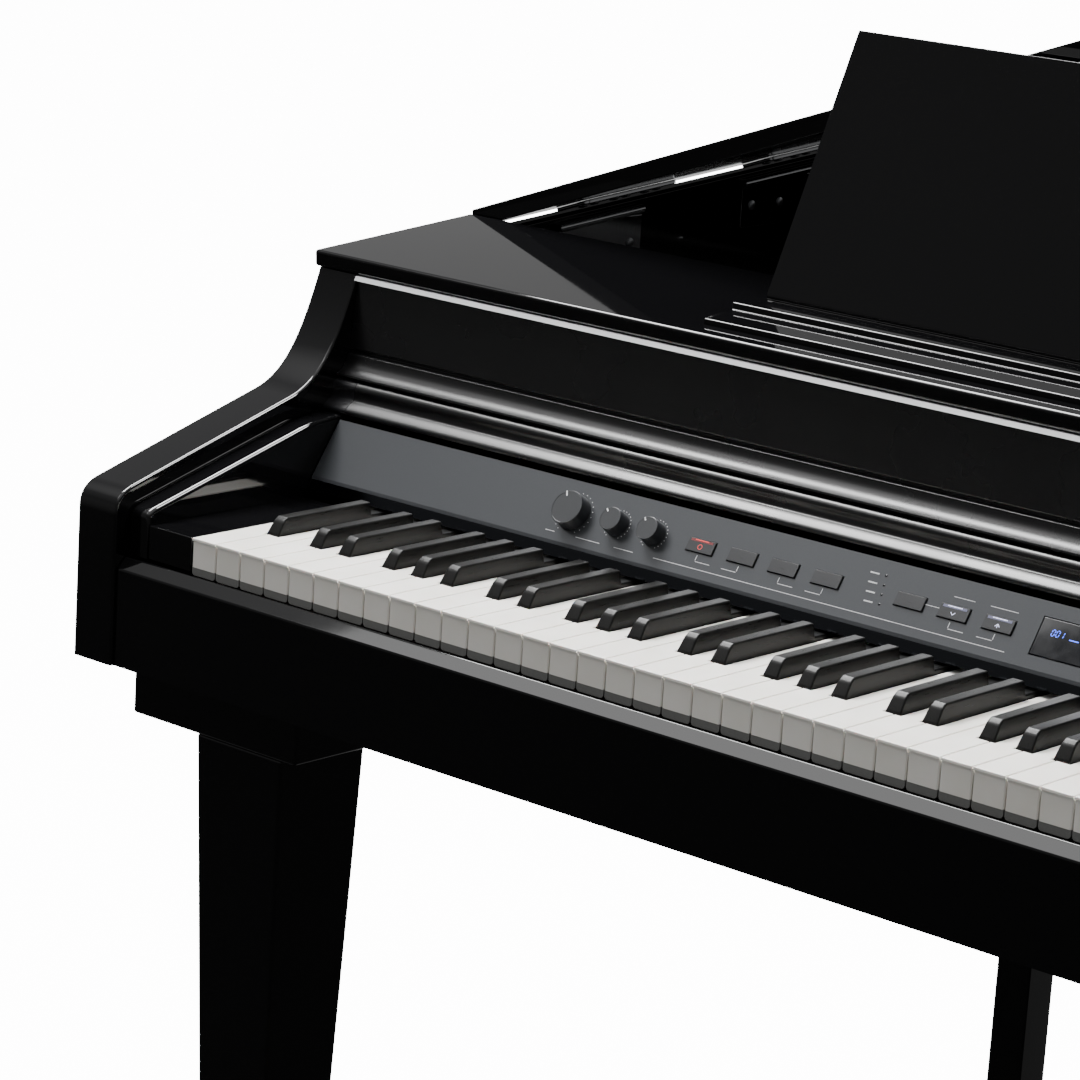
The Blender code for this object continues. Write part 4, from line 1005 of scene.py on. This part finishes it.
def buildLegs():
    blockTop = bedZ - clear
    legTop = blockTop - legs["block"][2]
    glide, low = legs["glide"], legs["glideHeight"]
    for name, edge, side, back in (
            ("front_left", -(halfWidth - legs["inset"]), 1, legs["setback"]),
            ("front_right", halfWidth - legs["inset"], -1, legs["setback"]),
            ("rear", legs["rearEdge"], 1, legs["rearY"])):
        spelled, front = name.title().replace("_", ""), keys["frontY"] + back
        x, y = edge + side * legs["middle"], front + legs["top"] / 2
        post = boxMesh((x - 0.5, y - 0.5, low), (x + 0.5, y + 0.5, legTop - 0.0002))
        for vert in post.verts:
            half = (legs["foot"] if vert.co.z < 0.1 else legs["top"]) / 2
            vert.co.x = x + math.copysign(half, vert.co.x - x)
            vert.co.y = y + math.copysign(half, vert.co.y - y)
        piece("legPost" + spelled, softened(post, legs["round"], 3, 40), lacquer, stands="leg_" + name)
        far = edge + side * legs["block"][0]
        block = boxMesh(
            (min(edge, far), front - 0.002, legTop), (max(edge, far), front + legs["block"][1], blockTop))
        piece("legBlock" + spelled, softened(block, legs["round"], 3, 40), lacquer)
        disc = turnedMesh([(0, 0), (glide - 0.0015, 0), (glide, 0.0012), (glide, low), (0, low)], 40)
        piece("legGlide" + spelled, disc, rubber, matrix=Matrix.Translation((x, y, 0)))


def cutAway(mesh, cutter):
    # boolean difference, worked out on two throwaway objects
    for shape in (mesh, cutter):
        bmesh.ops.recalc_face_normals(shape, faces=shape.faces)
    holders = [shown("cutting", meshData("cutting", shape)) for shape in (mesh, cutter)]
    change = holders[0].modifiers.new("cut", "BOOLEAN")
    change.object, change.solver = holders[1], "EXACT"
    graph = bpy.context.evaluated_depsgraph_get()
    flat = bpy.data.meshes.new_from_object(holders[0].evaluated_get(graph))
    result = bmesh.new()
    result.from_mesh(flat)
    spent = [flat] + [holder.data for holder in holders]
    for holder in holders:
        bpy.data.objects.remove(holder)
    for data in spent:
        bpy.data.meshes.remove(data)
    return result


lyre = {
    "y": 0.230, "depth": 0.030, "half": 0.095, "plate": 0.016, "postIn": 0.039, "postOut": 0.065,
    "rail": 0.020,
}
box = {"half": 0.130, "depth": 0.120, "low": 0.045, "high": 0.115}
pedals = {
    "pitch": 0.066, "width": 0.024, "reach": 0.105, "inside": 0.050, "thick": 0.010, "z": 0.0765,
    "round": 0.0026, "stem": 0.009, "tip": 0.018, "tipSteps": 24,
}


def buildLyre():
    y, roof = keys["frontY"] + lyre["y"], bedZ - clear
    near, far = y - lyre["depth"] / 2, y + lyre["depth"] / 2
    low, high = box["high"] + clear, roof - lyre["plate"]
    plate = boxMesh((-lyre["half"], near, high), (lyre["half"], far, roof))
    piece("lyrePlate", softened(plate, 0.0015, 2, 40), lacquer, stands="pedal_lyre")
    for side, name in ((-1, "Left"), (1, "Right")):
        left, right = sorted((side * lyre["postIn"], side * lyre["postOut"]))
        post = boxMesh((left, near, low), (right, far, high))
        piece("lyrePost" + name, softened(post, 0.002, 3, 40), lacquer)
    rail = boxMesh(
        (-lyre["postIn"], near + 0.001, low), (lyre["postIn"], far - 0.001, box["high"] + lyre["rail"]))
    piece("lyreRail", softened(rail, 0.0015, 2, 40), lacquer)


def buildPedals():
    y, low, high = keys["frontY"] + lyre["y"], pedals["z"], pedals["z"] + pedals["thick"]
    front, rear = y - box["depth"] / 2, y - box["depth"] / 2 + pedals["inside"]
    shell = boxMesh((-box["half"], front, box["low"]), (box["half"], y + box["depth"] / 2, box["high"]))
    softened(shell, 0.0025, 3, 40)
    slots, half = bmesh.new(), pedals["width"] / 2
    reach, hub, stem, r, steps = half + 0.002, half + 0.0017, pedals["stem"], pedals["tip"], pedals["tipSteps"]
    for i in (-1, 0, 1):
        x = i * pedals["pitch"]
        boxMesh((x - reach, front - 0.01, low - 0.016), (x + reach, rear + 0.004, high + 0.002), slots)
    piece("pedalBox", cutAway(shell, slots), lacquer, stands="pedal_box", smooth=30)
    for i, name in ((-1, "left"), (0, "middle"), (1, "right")):
        x, tip = i * pedals["pitch"], front - pedals["reach"]
        side = [
            (x - hub, rear + 0.003), (x - hub, rear - 0.006),
            (x - stem, rear - 0.008), (x - stem, front - 0.004)]
        curveTo(side, (x - half * 0.80, front - 0.030), (x - half, tip + 0.045), (x - half, tip + r), 14)
        angles = [math.pi + k * math.pi / steps for k in range(1, steps)]
        end = [(x + half * math.cos(a), tip + r + r * math.sin(a)) for a in angles]
        lever = profileAlongZ(side + end + [(2 * x - px, py) for px, py in side[::-1]], low, high)
        softened(lever, pedals["round"], 4, 50, lambda e: extent(e).z < tiny and highEnd(e).y < front + 0.03)
        piece("pedal" + name.title(), lever, brass, "pedal_" + name, "pedal_" + name, smooth=30)
        pad = boxMesh(
            (x - reach + 0.001, front + 0.004, low - 0.0155), (x + reach - 0.001, front + 0.020, low - 0.0125))
        piece("pedalFelt" + name.title(), softened(pad, 0.001, 2), redFelt)


buildLegs()
buildLyre()
buildPedals()
print("legs and pedals ready")


# Floor, light and camera
studio = {
    "floor": 24.0, "floorColour": "#60605f", "floorTones": ("#5e5e5d", "#626261"), "floorGlow": 14.0,
    "backdrop": 14.0,
    "lamps": {
        "overheadBox": {
            "place": (-1.85, 0.20, 3.35), "size": (2.0, 1.4), "power": 315, "target": (-1.55, 0.20, 0.8)},
        "overheadEdge": {
            "place": (0.50, 0.90, 3.35), "size": (0.8, 0.8), "power": 80, "target": (0.3, 0.9, 0.8)},
        "frontKick": {
            "place": (-2.40, -1.95, 3.35), "size": (1.0, 1.2), "power": 12, "target": (-0.3, -0.5, 0.8)},
        "rearFill": {
            "place": (0.4, 2.6, 2.6), "size": (2.4, 1.2), "power": 14, "target": (-0.1, -0.2, 0.8)},
    },
    # brightness of the surroundings in reflections, from straight down (0) to straight up (1),
    # in front of the keyboard and behind the piano, and how the one turns into the other
    "before": [
        (0.0, 0.01), (0.38, 0.04), (0.47, 0.14), (0.57, 0.19), (0.65, 0.16), (0.78, 0.30), (0.86, 1.00),
        (1.0, 1.60)],
    "behind": [
        (0.0, 0.20), (0.30, 0.50), (0.44, 0.80), (0.50, 0.90), (0.59, 0.66), (0.64, 0.38), (0.70, 0.28),
        (0.86, 0.30), (0.93, 1.00), (1.0, 1.60)],
    "behindWay": (-0.65, 0.76, 0), "turnFrom": 0.20, "turnTo": 0.60,
    "camera": (1.25405, -2.24754, 1.35577), "cameraTurn": (76.24224, -3.49086, 41.65159), "lens": 128.376,
}


def floorFinish():
    # a seamless studio floor, painted: matt mid grey with the faintest unevenness
    made = newFinish("paintedStudioFloor", studio["floorColour"], 0.9, Specular_IOR_Level=0.1,
                     Emission_Color=(1, 1, 1, 1))
    layer(made, 900, 2, tint=studio["floorTones"])
    # lifts the floor to white for the camera only, so that it throws no extra light on the piano
    tree = made.node_tree
    seen = node(tree, "ShaderNodeLightPath").outputs["Is Camera Ray"]
    glow = node(tree, "ShaderNodeMath", {0: seen, 1: studio["floorGlow"]}, operation="MULTIPLY")
    tree.links.new(glow.outputs[0], tree.nodes["Principled BSDF"].inputs["Emission Strength"])
    return made


def softBox(name, place, size, power, target):
    data = bpy.data.lights.new(name, "AREA")
    data.shape = "RECTANGLE"
    data.size, data.size_y = size
    data.energy = power
    made = shown(name, data)
    made.location = place
    made.rotation_euler = (Vector(target) - Vector(place)).to_track_quat("-Z", "Y").to_euler()


def buildWorld():
    world = bpy.data.worlds.new("studio")
    world.use_nodes = True
    bpy.context.scene.world = world
    tree = world.node_tree
    tree.nodes.clear()
    way = node(tree, "ShaderNodeTexCoord").outputs["Generated"]
    axes = node(tree, "ShaderNodeSeparateXYZ", {"Vector": way})
    height = node(tree, "ShaderNodeMapRange", {
        "Value": axes.outputs["Z"], "From Min": -1.0, "From Max": 1.0, "To Min": 0.0, "To Max": 1.0})
    levels = []
    for stops in (studio["before"], studio["behind"]):
        ramp = node(tree, "ShaderNodeValToRGB", {"Fac": height.outputs["Result"]})
        marks = ramp.color_ramp.elements
        marks.remove(marks[1])
        for k, (spot, level) in enumerate(stops):
            mark = marks[0] if k == 0 else marks.new(spot)
            mark.position = spot
            mark.color = (level, level, level, 1)
        levels.append(ramp.outputs["Color"])
    towards = node(tree, "ShaderNodeVectorMath", {0: way, 1: studio["behindWay"]}, operation="DOT_PRODUCT")
    facing = node(tree, "ShaderNodeMapRange", {
        "Value": towards.outputs["Value"], "From Min": studio["turnFrom"], "From Max": studio["turnTo"],
        "To Min": 0.0, "To Max": 1.0})
    level = node(tree, "ShaderNodeMix", {0: facing.outputs["Result"], 6: levels[0], 7: levels[1]},
                 data_type="RGBA")
    mirrored = node(tree, "ShaderNodeBackground", {"Color": level.outputs[2], "Strength": 1.0})
    plain = node(tree, "ShaderNodeBackground", {"Color": (1, 1, 1, 1), "Strength": studio["backdrop"]})
    seen = node(tree, "ShaderNodeLightPath").outputs["Is Camera Ray"]
    mixed = node(tree, "ShaderNodeMixShader", {0: seen, 1: mirrored.outputs[0], 2: plain.outputs[0]})
    node(tree, "ShaderNodeOutputWorld", {"Surface": mixed.outputs[0]})


def buildStudio():
    mesh = bmesh.new()
    bmesh.ops.create_grid(mesh, x_segments=1, y_segments=1, size=studio["floor"])
    floor = shown("floor", meshData("floor", mesh))
    floor.data.materials.append(floorFinish())
    floor.visible_glossy = False  # the black lacquer would mirror it and turn grey
    for name, settings in studio["lamps"].items():
        softBox(name, **settings)

    data = bpy.data.cameras.new("view")
    data.lens, data.sensor_width = studio["lens"], 36
    camera = shown("view", data)
    camera.location = studio["camera"]
    camera.rotation_euler = [math.radians(a) for a in studio["cameraTurn"]]
    bpy.context.scene.camera = camera


buildWorld()
buildStudio()
print("studio ready")
